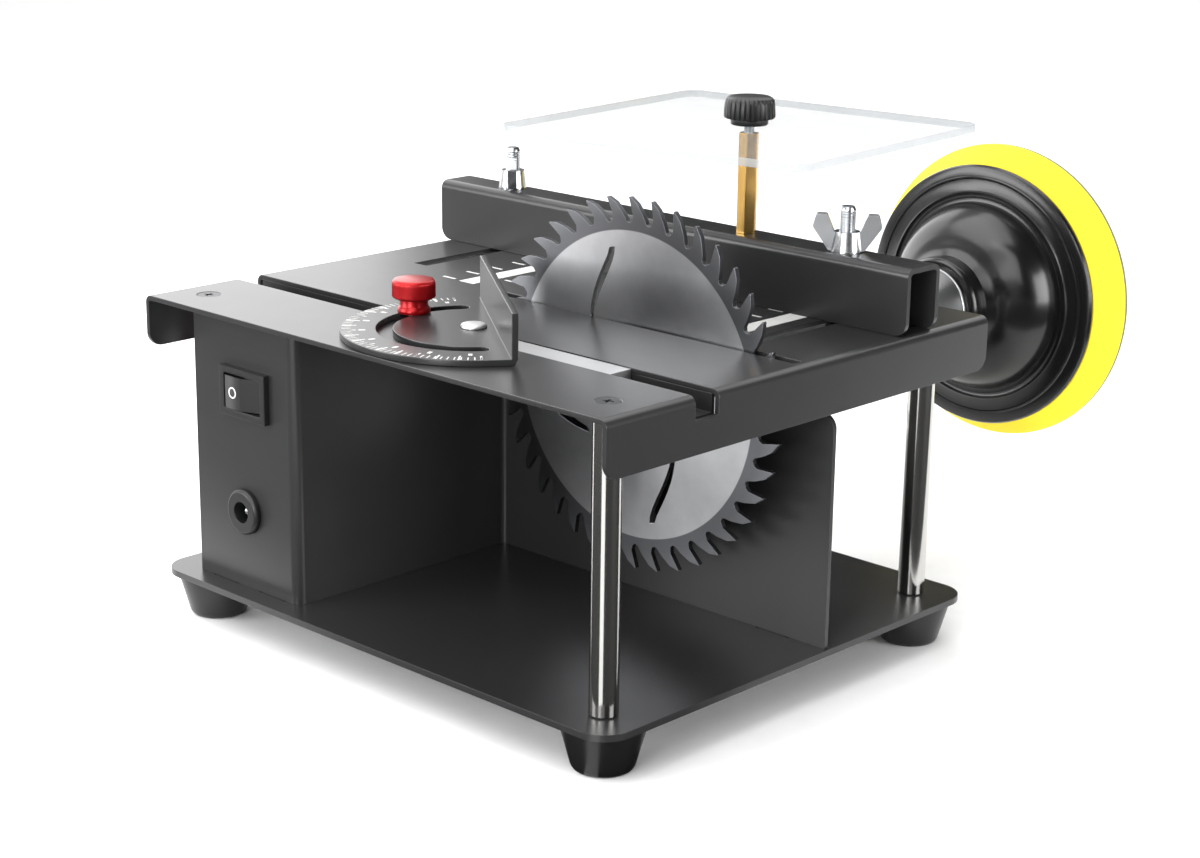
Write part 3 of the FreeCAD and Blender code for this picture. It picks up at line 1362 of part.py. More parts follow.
def make_lead(label, corners):
    """One insulated wire along a route of corners, each a triple of formulas."""
    points = [FreeCAD.Vector(*(number(text) for text in corner)) for corner in corners]
    path = round_path(points)
    radius = number("lead_radius")
    section = Part.Wire(Part.makeCircle(radius, points[0], points[1] - points[0]))
    shape = path.makePipeShell([section], True, False)
    expected = math.pi * radius ** 2 * path.Length
    if abs(shape.Volume - expected) > 0.02 * expected:
        raise RuntimeError(f"{label} is not swept whole")
    feature = doc.addObject("Part::Feature", label)
    feature.Shape = shape
    return node(feature, label)


def make_leads():
    """Inlet to switch, switch to motor, and motor back to the inlet."""
    tab_tip = "(switch_face_place + switch_body_depth + 8)"
    jack_tip = "(switch_face_place + jack_depth + 4)"
    terminal_tip = f"({CAP_BACK} + terminal_length)"
    lane = "(side_wall_place - panel_sheet - 9)"
    make_lead("inlet_lead", [
        ("jack_x", f"{jack_tip} + 0.1", "jack_z"),
        ("jack_x", f"{jack_tip} + 9", "jack_z"),
        ("jack_x - 1", f"{jack_tip} + 13", "(jack_z + switch_z) / 2"),
        ("switch_x - 4", f"{tab_tip} + 8", "switch_z"),
        ("switch_x - 4", f"{tab_tip} + 0.1", "switch_z"),
    ])
    make_lead("switched_lead", [
        ("switch_x + 4", f"{tab_tip} + 0.1", "switch_z"),
        ("switch_x + 4", f"{tab_tip} + 12", "switch_z"),
        (lane, f"{tab_tip} + 34", "switch_z - 4"),
        (lane, f"{terminal_tip} - 30", "switch_z - 6"),
        (f"{lane} + 12", f"{terminal_tip} + 4", f"{SHAFT_Z} - 6"),
        ("shaft_x - 26", f"{terminal_tip} + 12", f"{SHAFT_Z} - 4"),
        ("shaft_x - terminal_offset", f"{terminal_tip} + 10", SHAFT_Z),
        ("shaft_x - terminal_offset", f"{terminal_tip} + 0.1", SHAFT_Z),
    ])
    make_lead("return_lead", [
        ("jack_x", f"{jack_tip} + 0.1", "jack_z - 4"),
        ("jack_x", f"{jack_tip} + 12", "jack_z - 4"),
        (f"{lane} - 4", f"{jack_tip} + 40", "jack_z - 8"),
        (f"{lane} - 4", f"{terminal_tip} - 30", "jack_z - 6"),
        (f"{lane} + 14", f"{terminal_tip} + 5", "jack_z + 2"),
        ("shaft_x - 8", f"{terminal_tip} + 12", f"{SHAFT_Z} - 26"),
        ("shaft_x + terminal_offset", f"{terminal_tip} + 12", f"{SHAFT_Z} - 10"),
        ("shaft_x + terminal_offset", f"{terminal_tip} + 9", SHAFT_Z),
        ("shaft_x + terminal_offset", f"{terminal_tip} + 0.1", SHAFT_Z),
    ])


# ---------------------------------------------------------------- build, check and write
make_base()
make_feet()
make_posts()
make_table()
make_channel()
make_panel()
make_motor_case()
make_rotor()
make_arbor()
make_blade()
make_pad()
make_fence()
make_wing_nut("left_wing_nut", BOLT_LEFT, "left_wing_turn")
make_wing_nut("right_wing_nut", BOLT_RIGHT, "right_wing_turn")
make_shield()
make_gauge()
make_switch()
make_jack()
make_leads()
doc.recompute()

faults = [f"{o.Name}: {o.State}" for o in doc.Objects if {"Invalid", "Error"} & set(o.State)]
for thing in nodes:
    shape = thing.Shape
    if shape.isNull() or not shape.isValid() or not shape.Solids:
        faults.append(f"{thing.Label}: no valid solid")
if faults:
    raise RuntimeError("; ".join(faults))

os.makedirs("parts", exist_ok=True)
for thing in nodes:
    thing.Shape.exportStep(os.path.join("parts", f"{thing.Label}.step"))
    low, high = thing.Shape.BoundBox, thing.Shape.Volume
    print(f"{thing.Label:20s} {len(thing.Shape.Solids)} solids {high:10.1f} mm3 "
          f"x {low.XMin:.1f}..{low.XMax:.1f} y {low.YMin:.1f}..{low.YMax:.1f} z {low.ZMin:.1f}..{low.ZMax:.1f}")
print(len(nodes), "nodes")
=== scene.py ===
"""Small bench table saw with a sanding pad on its motor shaft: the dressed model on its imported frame.

Metres, origin at the centre of the base plate's underside, +X the way the work is fed, +Y from the
switch side to the sanding pad, +Z up.
"""

import json
import logging
import math
from dataclasses import dataclass
from enum import Enum
from typing import Callable, Optional, Sequence

import bmesh
import bpy
from mathutils import Matrix, Vector


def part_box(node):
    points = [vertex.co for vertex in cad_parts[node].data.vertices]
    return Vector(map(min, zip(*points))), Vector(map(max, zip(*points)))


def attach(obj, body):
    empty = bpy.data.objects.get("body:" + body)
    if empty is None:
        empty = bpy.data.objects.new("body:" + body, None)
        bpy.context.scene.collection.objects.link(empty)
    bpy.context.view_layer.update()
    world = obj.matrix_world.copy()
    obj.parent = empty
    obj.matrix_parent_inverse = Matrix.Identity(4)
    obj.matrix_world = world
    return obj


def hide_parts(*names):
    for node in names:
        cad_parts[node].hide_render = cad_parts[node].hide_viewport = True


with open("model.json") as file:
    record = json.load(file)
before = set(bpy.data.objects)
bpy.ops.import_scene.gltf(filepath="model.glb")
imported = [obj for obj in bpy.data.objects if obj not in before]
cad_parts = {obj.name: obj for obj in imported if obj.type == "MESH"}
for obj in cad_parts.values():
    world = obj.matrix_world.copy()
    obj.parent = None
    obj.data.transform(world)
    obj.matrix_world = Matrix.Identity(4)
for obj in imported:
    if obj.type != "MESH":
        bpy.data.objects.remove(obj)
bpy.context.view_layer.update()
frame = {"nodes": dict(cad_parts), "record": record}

Tree, Node, Socket, Piece = bpy.types.NodeTree, bpy.types.Node, bpy.types.NodeSocket, bpy.types.Object
MM = 0.001
# Corners nearer than this are one: in shapes made here, and in the rounder CAD meshes.
WELD_MADE = 1e-7
WELD_CAD = 2e-6
# Neighbouring CAD triangles within this many degrees are one flat face.
FLAT_DEG = 0.5
# A tint drifts over this many grains.
DRIFT_GRAINS = 14
LOG = logging.getLogger("table_saw")


# ------------ small tools
def linear(code: str) -> tuple[float, float, float, float]:
    """Turns an sRGB hex colour into linear light.

    Args:
        code: colour such as "#2B2B2C".

    Returns:
        Red, green, blue and an alpha of one.
    """
    parts = [int(code[k:k + 2], 16) / 255 for k in (1, 3, 5)]
    light = [p / 12.92 if p <= 0.04045 else ((p + 0.055) / 1.055) ** 2.4 for p in parts]
    return light[0], light[1], light[2], 1.0


def add(tree: Tree, kind: str, inputs: Optional[dict] = None, **settings) -> Node:
    """Adds a node with its settings, input values and links.

    Args:
        tree: the tree that takes the node.
        kind: the node's type name.
        inputs: socket name or number to a value, or to another node's output to link.
        settings: the node's own properties.

    Returns:
        The new node.
    """
    node = tree.nodes.new(kind)
    for key, value in settings.items():
        setattr(node, key, value)
    for key, value in (inputs or {}).items():
        socket = node.inputs[key]
        if isinstance(value, Socket):
            tree.links.new(value, socket)
        else:
            socket.default_value = value
    return node


def new_object(name: str, mesh: bpy.types.Mesh) -> Piece:
    """Puts a mesh in the scene as an object at the origin."""
    made = bpy.data.objects.new(name, mesh)
    bpy.context.scene.collection.objects.link(made)
    return made


def mesh_from(name: str, verts: Sequence, faces: Sequence, smooth: float = 40.0) -> Piece:
    """Makes an object from corners and faces, with its normals turned outwards.

    Args:
        name: the piece's name.
        verts: corner places.
        faces: corner numbers of each face.
        smooth: the angle in degrees past which an edge stays sharp.

    Returns:
        The object.
    """
    mesh = bpy.data.meshes.new(name)
    mesh.from_pydata([tuple(v) for v in verts], [], [tuple(f) for f in faces])
    tidy_normals(mesh, smooth)
    return new_object(name, mesh)


def shade(work: bmesh.types.BMesh, smooth: float) -> None:
    """Shades a mesh smooth but for edges past an angle in degrees."""
    for face in work.faces:
        face.smooth = True
    for edge in work.edges:
        sharp = len(edge.link_faces) == 2 and edge.calc_face_angle(0.0) > math.radians(smooth)
        edge.smooth = not sharp


def tidy_normals(mesh: bpy.types.Mesh, smooth: float) -> None:
    """Merges doubles, turns faces outwards and shades them smooth up to an angle."""
    work = bmesh.new()
    work.from_mesh(mesh)
    bmesh.ops.remove_doubles(work, verts=work.verts, dist=WELD_MADE)
    bmesh.ops.recalc_face_normals(work, faces=work.faces)
    shade(work, smooth)
    work.to_mesh(mesh)
    work.free()


def baked(obj: Piece) -> Piece:
    """Replaces an object's mesh by what its modifiers make of it, and removes them."""
    graph = bpy.context.evaluated_depsgraph_get()
    graph.update()
    mesh = bpy.data.meshes.new_from_object(obj.evaluated_get(graph))
    obj.modifiers.clear()
    obj.data = mesh
    return obj


class Along(Enum):
    """The direction a turned piece's own axis takes."""

    UP = "z"
    BACK = "y"

    def place(self, x: float, y: float, z: float) -> Vector:
        """A point of the turned shape, with its axis laid the right way."""
        return Vector((x, y, z)) if self is Along.UP else Vector((x, z, -y))


def turned(name: str, profile: Sequence[tuple[float, float]], centre: Vector, along: Along = Along.UP,
           steps: int = 96, wave: Optional[Callable[[int, float], float]] = None,
           smooth: float = 35.0) -> Piece:
    """Turns a profile about an axis, as a lathe does.

    Args:
        name: the piece's name.
        profile: (radius, height) in millimetres; it starts and ends on the axis, or closes as a ring.
        centre: where the axis stands, in metres.
        along: the way the axis points.
        steps: corners round the axis.
        wave: radius change in millimetres for a profile corner's number and an angle.
        smooth: the angle in degrees past which an edge stays sharp.

    Returns:
        The object.
    """
    verts: list[Vector] = []
    rings: list[list[int]] = []
    for number, (radius, height) in enumerate(profile):
        ring = []
        for k in range(1 if radius < 1e-6 else steps):
            angle = 2 * math.pi * k / steps
            reach = radius + (wave(number, angle) if wave and radius > 1e-6 else 0.0)
            ring.append(len(verts))
            spot = along.place(reach * math.cos(angle), reach * math.sin(angle), height)
            verts.append(centre + spot * MM)
        rings.append(ring)
    if profile[0][0] > 1e-6:
        rings.append(rings[0])
    faces = []
    for low, high in zip(rings, rings[1:]):
        count = max(len(low), len(high))
        if count == 1:
            continue
        for k in range(count):
            n = (k + 1) % count
            corners = [low[k % len(low)], low[n % len(low)], high[n % len(high)], high[k % len(high)]]
            faces.append(list(dict.fromkeys(corners)))
    return mesh_from(name, verts, faces, smooth)


def eased(points: Sequence[tuple[float, float]], steps: int = 6) -> list[tuple[float, float]]:
    """A smooth line through points, by Catmull and Rom's rule."""
    line: list[tuple[float, float]] = []
    ends = [points[0], *points, points[-1]]
    for a, b, c, d in zip(ends, ends[1:], ends[2:], ends[3:]):
        for k in range(steps):
            t = k / steps
            line.append(tuple(
                0.5 * (2 * q + (r - p) * t + (2 * p - 5 * q + 4 * r - s) * t * t
                       + (3 * q - p - 3 * r + s) * t ** 3)
                for p, q, r, s in zip(a, b, c, d)))
    line.append(tuple(points[-1]))
    return line


def softened(node: str, width: float = 0.25, name: Optional[str] = None,
             smooth: float = 32.0) -> Piece:
    """Copies a CAD node and breaks its sharp edges, as tumbling or paint does.

    Args:
        node: the CAD node's name.
        width: the width of the broken edge in millimetres.
        name: the piece's name, or None for one made from the node's name.
        smooth: the angle in degrees past which an edge counts as sharp.

    Returns:
        The new object.
    """
    mesh = frame["nodes"][node].data.copy()
    mesh.materials.clear()
    work = bmesh.new()
    work.from_mesh(mesh)
    bmesh.ops.remove_doubles(work, verts=work.verts, dist=WELD_CAD)
    bmesh.ops.dissolve_limit(work, angle_limit=math.radians(FLAT_DEG), verts=work.verts, edges=work.edges)
    work.to_mesh(mesh)
    work.free()
    for layer in list(mesh.attributes):
        if layer.name in ("custom_normal", "sharp_edge", "sharp_face"):
            mesh.attributes.remove(layer)
    piece = new_object(name or f"{node}_shell", mesh)
    bevel = piece.modifiers.new("edges", "BEVEL")
    bevel.width = width * MM
    bevel.segments = 2
    bevel.limit_method = "ANGLE"
    bevel.angle_limit = math.radians(smooth)
    bevel.use_clamp_overlap = True
    bevel.miter_outer = "MITER_ARC"
    baked(piece)
    tidy_edges(piece.data, smooth)
    flatten(piece)
    return piece


def flatten(piece: Piece) -> None:
    """Gives large faces their true direction, so that only the broken edges turn the light."""
    weigh = piece.modifiers.new("flats", "WEIGHTED_NORMAL")
    weigh.mode = "FACE_AREA"
    weigh.weight = 100
    weigh.keep_sharp = True
    baked(piece)


def tidy_edges(mesh: bpy.types.Mesh, smooth: float) -> None:
    """Shades a mesh smooth but for edges past an angle, without turning any face."""
    work = bmesh.new()
    work.from_mesh(mesh)
    shade(work, smooth)
    work.to_mesh(mesh)
    work.free()


def dressed(piece: Piece, finish: "Finish", body: str, nodes: Sequence[str] = ()) -> Piece:
    """Gives a piece its finish and its place in the frame.

    Args:
        piece: the piece.
        finish: what its surface is.
        body: the body it moves with.
        nodes: CAD nodes that it stands for.

    Returns:
        The piece.
    """
    piece.data.materials.clear()
    piece.data.materials.append(finish.material())
    if nodes:
        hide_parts(*nodes)
    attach(piece, body)
    LOG.info("%s: %d faces on %s", piece.name, len(piece.data.polygons), body)
    return piece


def cad_piece(node: str, finish: "Finish", width: float) -> None:
    """Dresses a CAD node as it is, with its edges broken by a width in millimetres."""
    dressed(softened(node, width), finish, BODY_OF[node], [node])


BODY_OF = {node: body for body, nodes in frame["record"]["behaviour"]["bodies"].items() for node in nodes}


# ------------ finishes
def raised(tree: Tree, shader: Node, height: Socket, depth: float,
           strength: float = 1.0) -> None:
    """Raises a surface by a pattern, to a depth in metres."""
    bump = add(tree, "ShaderNodeBump", {"Height": height, "Distance": depth, "Strength": strength})
    tree.links.new(bump.outputs[0], shader.inputs["Normal"])


def blended(tree: Tree, share: Socket, low: object,
            high: object) -> Socket:
    """Mixes two colours, each a value or another node's output, by a share."""
    return add(tree, "ShaderNodeMix", {0: share, 6: low, 7: high}, data_type="RGBA").outputs[2]


@dataclass(frozen=True)
class Finish:
    """A surface: its colour, how it shines, and the fine relief its making leaves."""

    name: str
    colour: str
    roughness: float
    metallic: float = 0.0
    coat: float = 0.0
    grain_mm: float = 1.0
    relief_um: float = 5.0
    mottle: float = 0.06

    def material(self) -> bpy.types.Material:
        """The material, made once for each finish."""
        known = bpy.data.materials.get(self.name)
        if known:
            return known
        made = bpy.data.materials.new(self.name)
        made.use_nodes = True
        tree = made.node_tree
        tree.nodes.clear()
        shader = add(tree, "ShaderNodeBsdfPrincipled", {
            "Base Color": linear(self.colour), "Roughness": self.roughness, "Metallic": self.metallic,
            "Coat Weight": self.coat, "Coat Roughness": 0.12})
        add(tree, "ShaderNodeOutputMaterial", {"Surface": shader.outputs[0]})
        place = add(tree, "ShaderNodeTexCoord").outputs["Object"]
        self.pattern(tree, shader, place)
        return made

    def pattern(self, tree: Tree, shader: Node, place: Socket) -> None:
        """Adds an even fine grain, with a slow drift in colour and gloss."""
        self.tint(tree, shader, place)
        scale = 1 / (self.grain_mm * MM)
        noise = add(tree, "ShaderNodeTexNoise", {"Vector": place, "Scale": scale, "Detail": 2.0})
        raised(tree, shader, noise.outputs["Fac"], self.relief_um * 1e-6)

    def tint(self, tree: Tree, shader: Node, place: Socket) -> None:
        """Lets colour and roughness drift slowly over the surface."""
        scale = 1 / (self.grain_mm * DRIFT_GRAINS * MM)
        drift = add(tree, "ShaderNodeTexNoise", {"Vector": place, "Scale": scale, "Detail": 4.0})
        light = linear(self.colour)[:3]
        dark = (*[c * (1 - self.mottle) for c in light], 1)
        pale = (*[min(1.0, c * (1 + self.mottle)) for c in light], 1)
        tree.links.new(blended(tree, drift.outputs["Fac"], dark, pale), shader.inputs["Base Color"])
        gloss = add(tree, "ShaderNodeMapRange", {
            "Value": drift.outputs["Fac"], "To Min": self.roughness * (1 - self.mottle),
            "To Max": self.roughness * (1 + self.mottle)})
        tree.links.new(gloss.outputs[0], shader.inputs["Roughness"])


@dataclass(frozen=True)
class Stretched(Finish):
    """Metal with fine lines along one axis, or with an even fine grain where run is zero."""

    run: tuple[float, float, float] = (1.0, 0.0, 0.0)
    line_mm: float = 0.15
    along: float = 0.04

    def pattern(self, tree: Tree, shader: Node, place: Socket) -> None:
        """Adds noise drawn out along the chosen axis."""
        self.tint(tree, shader, place)
        across = tuple((self.along if part else 1.0) / (self.line_mm * MM) for part in self.run)
        lines = add(tree, "ShaderNodeMapping", {"Vector": place, "Scale": across})
        noise = add(tree, "ShaderNodeTexNoise", {"Vector": lines.outputs[0], "Scale": 1.0, "Detail": 3.0})
        raised(tree, shader, noise.outputs["Fac"], self.relief_um * 1e-6)


@dataclass(frozen=True)
class BladePlate(Finish):
    """Blade steel: a ground disc inside a darker toothed ring, both finished round the arbor, with the teeth
    lightened towards their tips as a painted highlight.
    """

    ground: str = "#BDBEC0"
    ground_dull: str = "#A3A4A6"
    # Painted highlight: the teeth's colour lightens towards their tips to stand for their bright bevels.
    tooth_tip_highlight: str = "#737477"
    ground_radius: float = 45.3
    ground_edge: float = 0.15
    tooth_start: float = 48.8
    tooth_full: float = 53.2
    ring_roughness: float = 0.38
    ground_roughness: float = 0.4
    lines_per_m: float = 5200.0
    line_depth: float = 2.0e-6
    shaft: tuple[float, float] = (31.0, 69.3)

    def pattern(self, tree: Tree, shader: Node, place: Socket) -> None:
        """Divides the plate by distance from the shaft and turns its shine round the shaft."""
        hub = (self.shaft[0] * MM, 0.0, self.shaft[1] * MM)
        arm = add(tree, "ShaderNodeVectorMath", {0: place, 1: hub}, operation="SUBTRACT")
        flat = add(tree, "ShaderNodeVectorMath", {0: arm.outputs[0], 1: (1.0, 0.0, 1.0)},
                   operation="MULTIPLY")
        far = add(tree, "ShaderNodeVectorMath", {0: flat.outputs[0]}, operation="LENGTH")
        drift = add(tree, "ShaderNodeTexNoise", {"Vector": place, "Scale": 160.0, "Detail": 5.0})
        shade_of = blended(tree, drift.outputs["Fac"], linear(self.ground_dull), linear(self.ground))
        inside = add(tree, "ShaderNodeMapRange", {
            "Value": far.outputs["Value"], "From Min": (self.ground_radius - self.ground_edge) * MM,
            "From Max": (self.ground_radius + self.ground_edge) * MM, "To Min": 1.0, "To Max": 0.0})
        disc = blended(tree, inside.outputs[0], linear(self.colour), shade_of)
        # Painted highlight: the colour goes from the ring's grey to a paler grey towards the teeth's tips.
        tip_highlight_share = add(tree, "ShaderNodeMapRange", {
            "Value": far.outputs["Value"], "From Min": self.tooth_start * MM,
            "From Max": self.tooth_full * MM})
        tip_highlighted = blended(tree, tip_highlight_share.outputs[0], disc, linear(self.tooth_tip_highlight))
        tree.links.new(tip_highlighted, shader.inputs["Base Color"])
        rough = add(tree, "ShaderNodeMapRange", {
            "Value": inside.outputs[0], "To Min": self.ring_roughness, "To Max": self.ground_roughness})
        tree.links.new(rough.outputs[0], shader.inputs["Roughness"])
        shader.inputs["Anisotropic"].default_value = 0.7
        round_way = add(tree, "ShaderNodeVectorMath", {0: flat.outputs[0], 1: (0.0, 1.0, 0.0)},
                        operation="CROSS_PRODUCT")
        unit = add(tree, "ShaderNodeVectorMath", {0: round_way.outputs[0]}, operation="NORMALIZE")
        tree.links.new(unit.outputs[0], shader.inputs["Tangent"])
        rings = add(tree, "ShaderNodeMath", {0: far.outputs["Value"], 1: self.lines_per_m},
                    operation="MULTIPLY")
        lines = add(tree, "ShaderNodeTexNoise", {"W": rings.outputs[0], "Scale": 1.0, "Detail": 3.0},
                    noise_dimensions="1D")
        raised(tree, shader, lines.outputs["Fac"], self.line_depth, 0.8)


@dataclass(frozen=True)
class ClearSheet(Finish):
    """Cast acrylic: nearly unseen face on, greyer at its cut edges."""

    edge_alpha: float = 0.6
    face_alpha: float = 0.26

    def pattern(self, tree: Tree, shader: Node, place: Socket) -> None:
        """Lets the faces through and keeps the cut edges cloudy."""
        facing = add(tree, "ShaderNodeTexCoord").outputs["Normal"]
        up = add(tree, "ShaderNodeSeparateXYZ", {0: facing})
        flat = add(tree, "ShaderNodeMath", {0: up.outputs["Z"]}, operation="ABSOLUTE")
        cloud = add(tree, "ShaderNodeMapRange", {
            "Value": flat.outputs[0], "From Min": 0.2, "From Max": 0.9,
            "To Min": self.edge_alpha, "To Max": self.face_alpha})
        tree.links.new(cloud.outputs[0], shader.inputs["Alpha"])
        shader.inputs["IOR"].default_value = 1.49
        drift = add(tree, "ShaderNodeTexNoise", {"Vector": place, "Scale": 30.0, "Detail": 2.0})
        raised(tree, shader, drift.outputs["Fac"], 1e-5, 0.3)


@dataclass(frozen=True)
class OpenFoam(Finish):
    """Polyurethane foam skin with pores, whose pits are darkened with painted shade."""

    def pattern(self, tree: Tree, shader: Node, place: Socket) -> None:
        """Pits the surface and paints shade into the pits."""
        pores = add(tree, "ShaderNodeTexVoronoi", {"Vector": place, "Scale": 1 / (self.grain_mm * MM)})
        pit = add(tree, "ShaderNodeMapRange", {"Value": pores.outputs["Distance"], "From Max": 0.45})
        light = linear(self.colour)
        # Painted shade: the foam's colour is darkened where the pores sink in.
        pit_painted_shade = (light[0] * 0.82, light[1] * 0.8, light[2] * 0.7, 1)
        tree.links.new(blended(tree, pit.outputs[0], pit_painted_shade, light), shader.inputs["Base Color"])
        raised(tree, shader, pit.outputs[0], self.relief_um * 1e-6, 0.8)


# Powder-coated steel: a satin black skin with a very slight orange peel.
COAT = Finish("satin_powder_coat", "#262627", 0.3, grain_mm=0.8, relief_um=5.0, mottle=0.05)
# Nitrile rubber, moulded and a little shiny where the mould was polished.
FOOT_RUBBER = Finish("moulded_rubber", "#121212", 0.3, grain_mm=0.6, relief_um=5.0)
# Chromed round bar, centreless ground before plating: sharp reflections with a faint even grain.
POST_CHROME = Stretched("ground_chrome_bar", "#B9B8B5", 0.13, 1.0, run=(0, 0, 0), line_mm=0.2,
                        relief_um=0.6)
# Zinc-plated steel: bright with a faint cloudy blue-grey.
ZINC = Finish("bright_zinc_plate", "#CDCFD2", 0.25, 1.0, grain_mm=0.4, relief_um=4.0, mottle=0.12)
# Turned steel, bright with a faint even grain.
TURNED = Stretched("turned_bright_steel", "#DADBDC", 0.28, 1.0, run=(0, 0, 0), line_mm=0.25, relief_um=2.0)
# Plated motor can, drawn along its axis.
CAN = Stretched("plated_motor_can", "#A7A9AB", 0.33, 1.0, run=(0, 1, 0), relief_um=2.0)
# Armature laminations: bare electrical steel.
LAMINATION = Stretched("laminated_steel", "#77797B", 0.45, 1.0, run=(1, 0, 1), line_mm=0.5, relief_um=20.0)
BLADE = BladePlate("ground_blade_steel", "#67686B", 0.36, 1.0)
# Acrylonitrile-butadiene-styrene, moulded with a fine spark finish.
MOULDED = Finish("moulded_black_plastic", "#161617", 0.4, grain_mm=0.35, relief_um=7.0)
# Glass-filled nylon hub, moulded against a polished steel face.
HUB_GLOSS = Finish("polished_black_plastic", "#0F0F10", 0.22, coat=0.05, grain_mm=2.0, relief_um=4.0)
FOAM = OpenFoam("yellow_foam", "#C2B005", 0.9, grain_mm=0.9, relief_um=60.0)
# Hook tape: rows of short nylon stems read as a grey nap.
HOOK = Finish("hook_tape", "#6A6B60", 0.85, grain_mm=0.5, relief_um=90.0, mottle=0.25)
# Drawn brass hexagon bar, with die lines along its length.
BRASS = Stretched("drawn_brass_bar", "#DBB066", 0.24, 1.0, run=(0, 0, 1), line_mm=0.2, relief_um=3.0)
TIN_BRASS = Finish("tinned_brass", "#BDB396", 0.35, 1.0)
ACRYLIC = ClearSheet("cast_acrylic", "#9AA0A3", 0.06)
# Red anodised aluminium: a dyed oxide film over bright turned metal.
RED_ANODISED = Finish("red_anodised_aluminium", "#A3070F", 0.33, 0.6, coat=0.1, grain_mm=0.4, relief_um=5.0)
# Extruded aluminium strip, with lines along its length.
BAR = Stretched("extruded_aluminium", "#C6C6C7", 0.4, 1.0, run=(1, 0, 0), relief_um=2.0)
COPPER = Stretched("enamelled_copper", "#B4622F", 0.32, 0.9, run=(0, 1, 0), line_mm=0.5, relief_um=60.0)
FERRITE = Finish("sintered_ferrite", "#3B3C3E", 0.6, 0.2)
CARBON = Finish("pressed_carbon", "#202123", 0.6)
RED_WIRE = Finish("red_wire_sleeve", "#A8141B", 0.4, relief_um=3.0)
BLACK_WIRE = Finish("black_wire_sleeve", "#18181A", 0.4, relief_um=3.0)
# Black-oxide steel, for the table's countersunk screws.
BLACK_SCREW = Finish("black_oxide_steel", "#3A3B3D", 0.38, 0.9, grain_mm=0.4, relief_um=3.0)
# Screen-printed white ink: flat, with thin places where the mesh starved it.
INK = Finish("white_screen_ink", "#D2D2D0", 0.55, grain_mm=0.5, relief_um=6.0, mottle=0.16)


# ------------ geometry nodes
class Repeat:
    """A geometry node tree that repeats a small shape, with named inputs for its sizes."""

    def __init__(self, name: str, sizes: dict[str, tuple[str, object]]) -> None:
        """Starts the tree.

        Args:
            name: the tree's name.
            sizes: input name to its socket type and value.
        """
        self.name = name
        self.values = {key: value for key, (_, value) in sizes.items()}
        self.tree = bpy.data.node_groups.new(name, "GeometryNodeTree")
        self.tree.interface.new_socket("Geometry", in_out="OUTPUT", socket_type="NodeSocketGeometry")
        for key, (kind, _) in sizes.items():
            self.tree.interface.new_socket(key, in_out="INPUT", socket_type=kind)
        self.given = add(self.tree, "NodeGroupInput").outputs

    def end(self, instances: Socket, material: bpy.types.Material) -> None:
        """Ends the tree in real geometry with its material."""
        real = add(self.tree, "GeometryNodeRealizeInstances", {0: instances})
        dress = add(self.tree, "GeometryNodeSetMaterial", {
            "Geometry": real.outputs[0], "Material": material})
        add(self.tree, "NodeGroupOutput", {0: dress.outputs[0]})

    def run(self, name: str) -> Piece:
        """Evaluates the tree.

        Args:
            name: the new piece's name.

        Returns:
            An object that holds the tree's result as a plain mesh.
        """
        piece = new_object(name, bpy.data.meshes.new(name))
        modifier = piece.modifiers.new(self.name, "NODES")
        modifier.node_group = self.tree
        for item in self.tree.interface.items_tree:
            if item.in_out == "INPUT":
                modifier[item.identifier] = self.values[item.name]
        baked(piece)
        tidy_edges(piece.data, 35.0)
        return piece


def mark_row(name: str, start: Vector, step: Vector, count: int, size: Vector,
             finish: Finish) -> Piece:
    """A row of flat printed marks.

    Args:
        name: the piece's name.
        start: the first mark's middle.
        step: from one mark to the next.
        count: how many.
        size: a mark's length, width and thickness.
        finish: what they are printed in.

    Returns:
        The marks as one mesh.
    """
    row = Repeat(f"{name}_row", {
        "Start": ("NodeSocketVector", start), "Step": ("NodeSocketVector", step),
        "Count": ("NodeSocketInt", count), "Size": ("NodeSocketVector", size)})
    line = add(row.tree, "GeometryNodeMeshLine", {
        "Count": row.given["Count"], "Start Location": row.given["Start"], "Offset": row.given["Step"]},
        mode="OFFSET")
    mark = add(row.tree, "GeometryNodeMeshCube", {"Size": row.given["Size"]})
    spread = add(row.tree, "GeometryNodeInstanceOnPoints", {
        "Points": line.outputs[0], "Instance": mark.outputs[0]})
    row.end(spread.outputs[0], finish.material())
    return row.run(name)


def mark_dial(name: str, centre: Vector, radius: float, first: float, step: float, count: int, size: Vector,
              finish: Finish) -> Piece:
    """Printed marks that point at a centre.

    Args:
        name: the piece's name.
        centre: the dial's centre.
        radius: the marks' middle radius.
        first: the first mark's angle in radians.
        step: the angle from mark to mark.
        count: how many.
        size: a mark's length along the radius, width and thickness.
        finish: what they are printed in.

    Returns:
        The marks as one mesh.
    """
    dial = Repeat(f"{name}_dial", {
        "Centre": ("NodeSocketVector", centre), "Radius": ("NodeSocketFloat", radius),
        "First": ("NodeSocketFloat", first), "Step": ("NodeSocketFloat", step),
        "Count": ("NodeSocketInt", count), "Size": ("NodeSocketVector", size)})
    tree, given = dial.tree, dial.given
    line = add(tree, "GeometryNodeMeshLine", {
        "Count": given["Count"], "Start Location": given["Centre"], "Offset": (0.0, 0.0, 0.0)},
        mode="OFFSET")
    turn = add(tree, "ShaderNodeMath", {
        0: add(tree, "GeometryNodeInputIndex").outputs[0], 1: given["Step"], 2: given["First"]},
        operation="MULTIPLY_ADD")
    spin = add(tree, "ShaderNodeCombineXYZ", {"Z": turn.outputs[0]})
    out = add(tree, "ShaderNodeCombineXYZ", {"X": given["Radius"]})
    mark = add(tree, "GeometryNodeMeshCube", {"Size": given["Size"]})
    moved = add(tree, "GeometryNodeTransform", {"Geometry": mark.outputs[0], "Translation": out.outputs[0]})
    spread = add(tree, "GeometryNodeInstanceOnPoints", {
        "Points": line.outputs[0], "Instance": moved.outputs[0], "Rotation": spin.outputs[0]})
    dial.end(spread.outputs[0], finish.material())
    return dial.run(name)


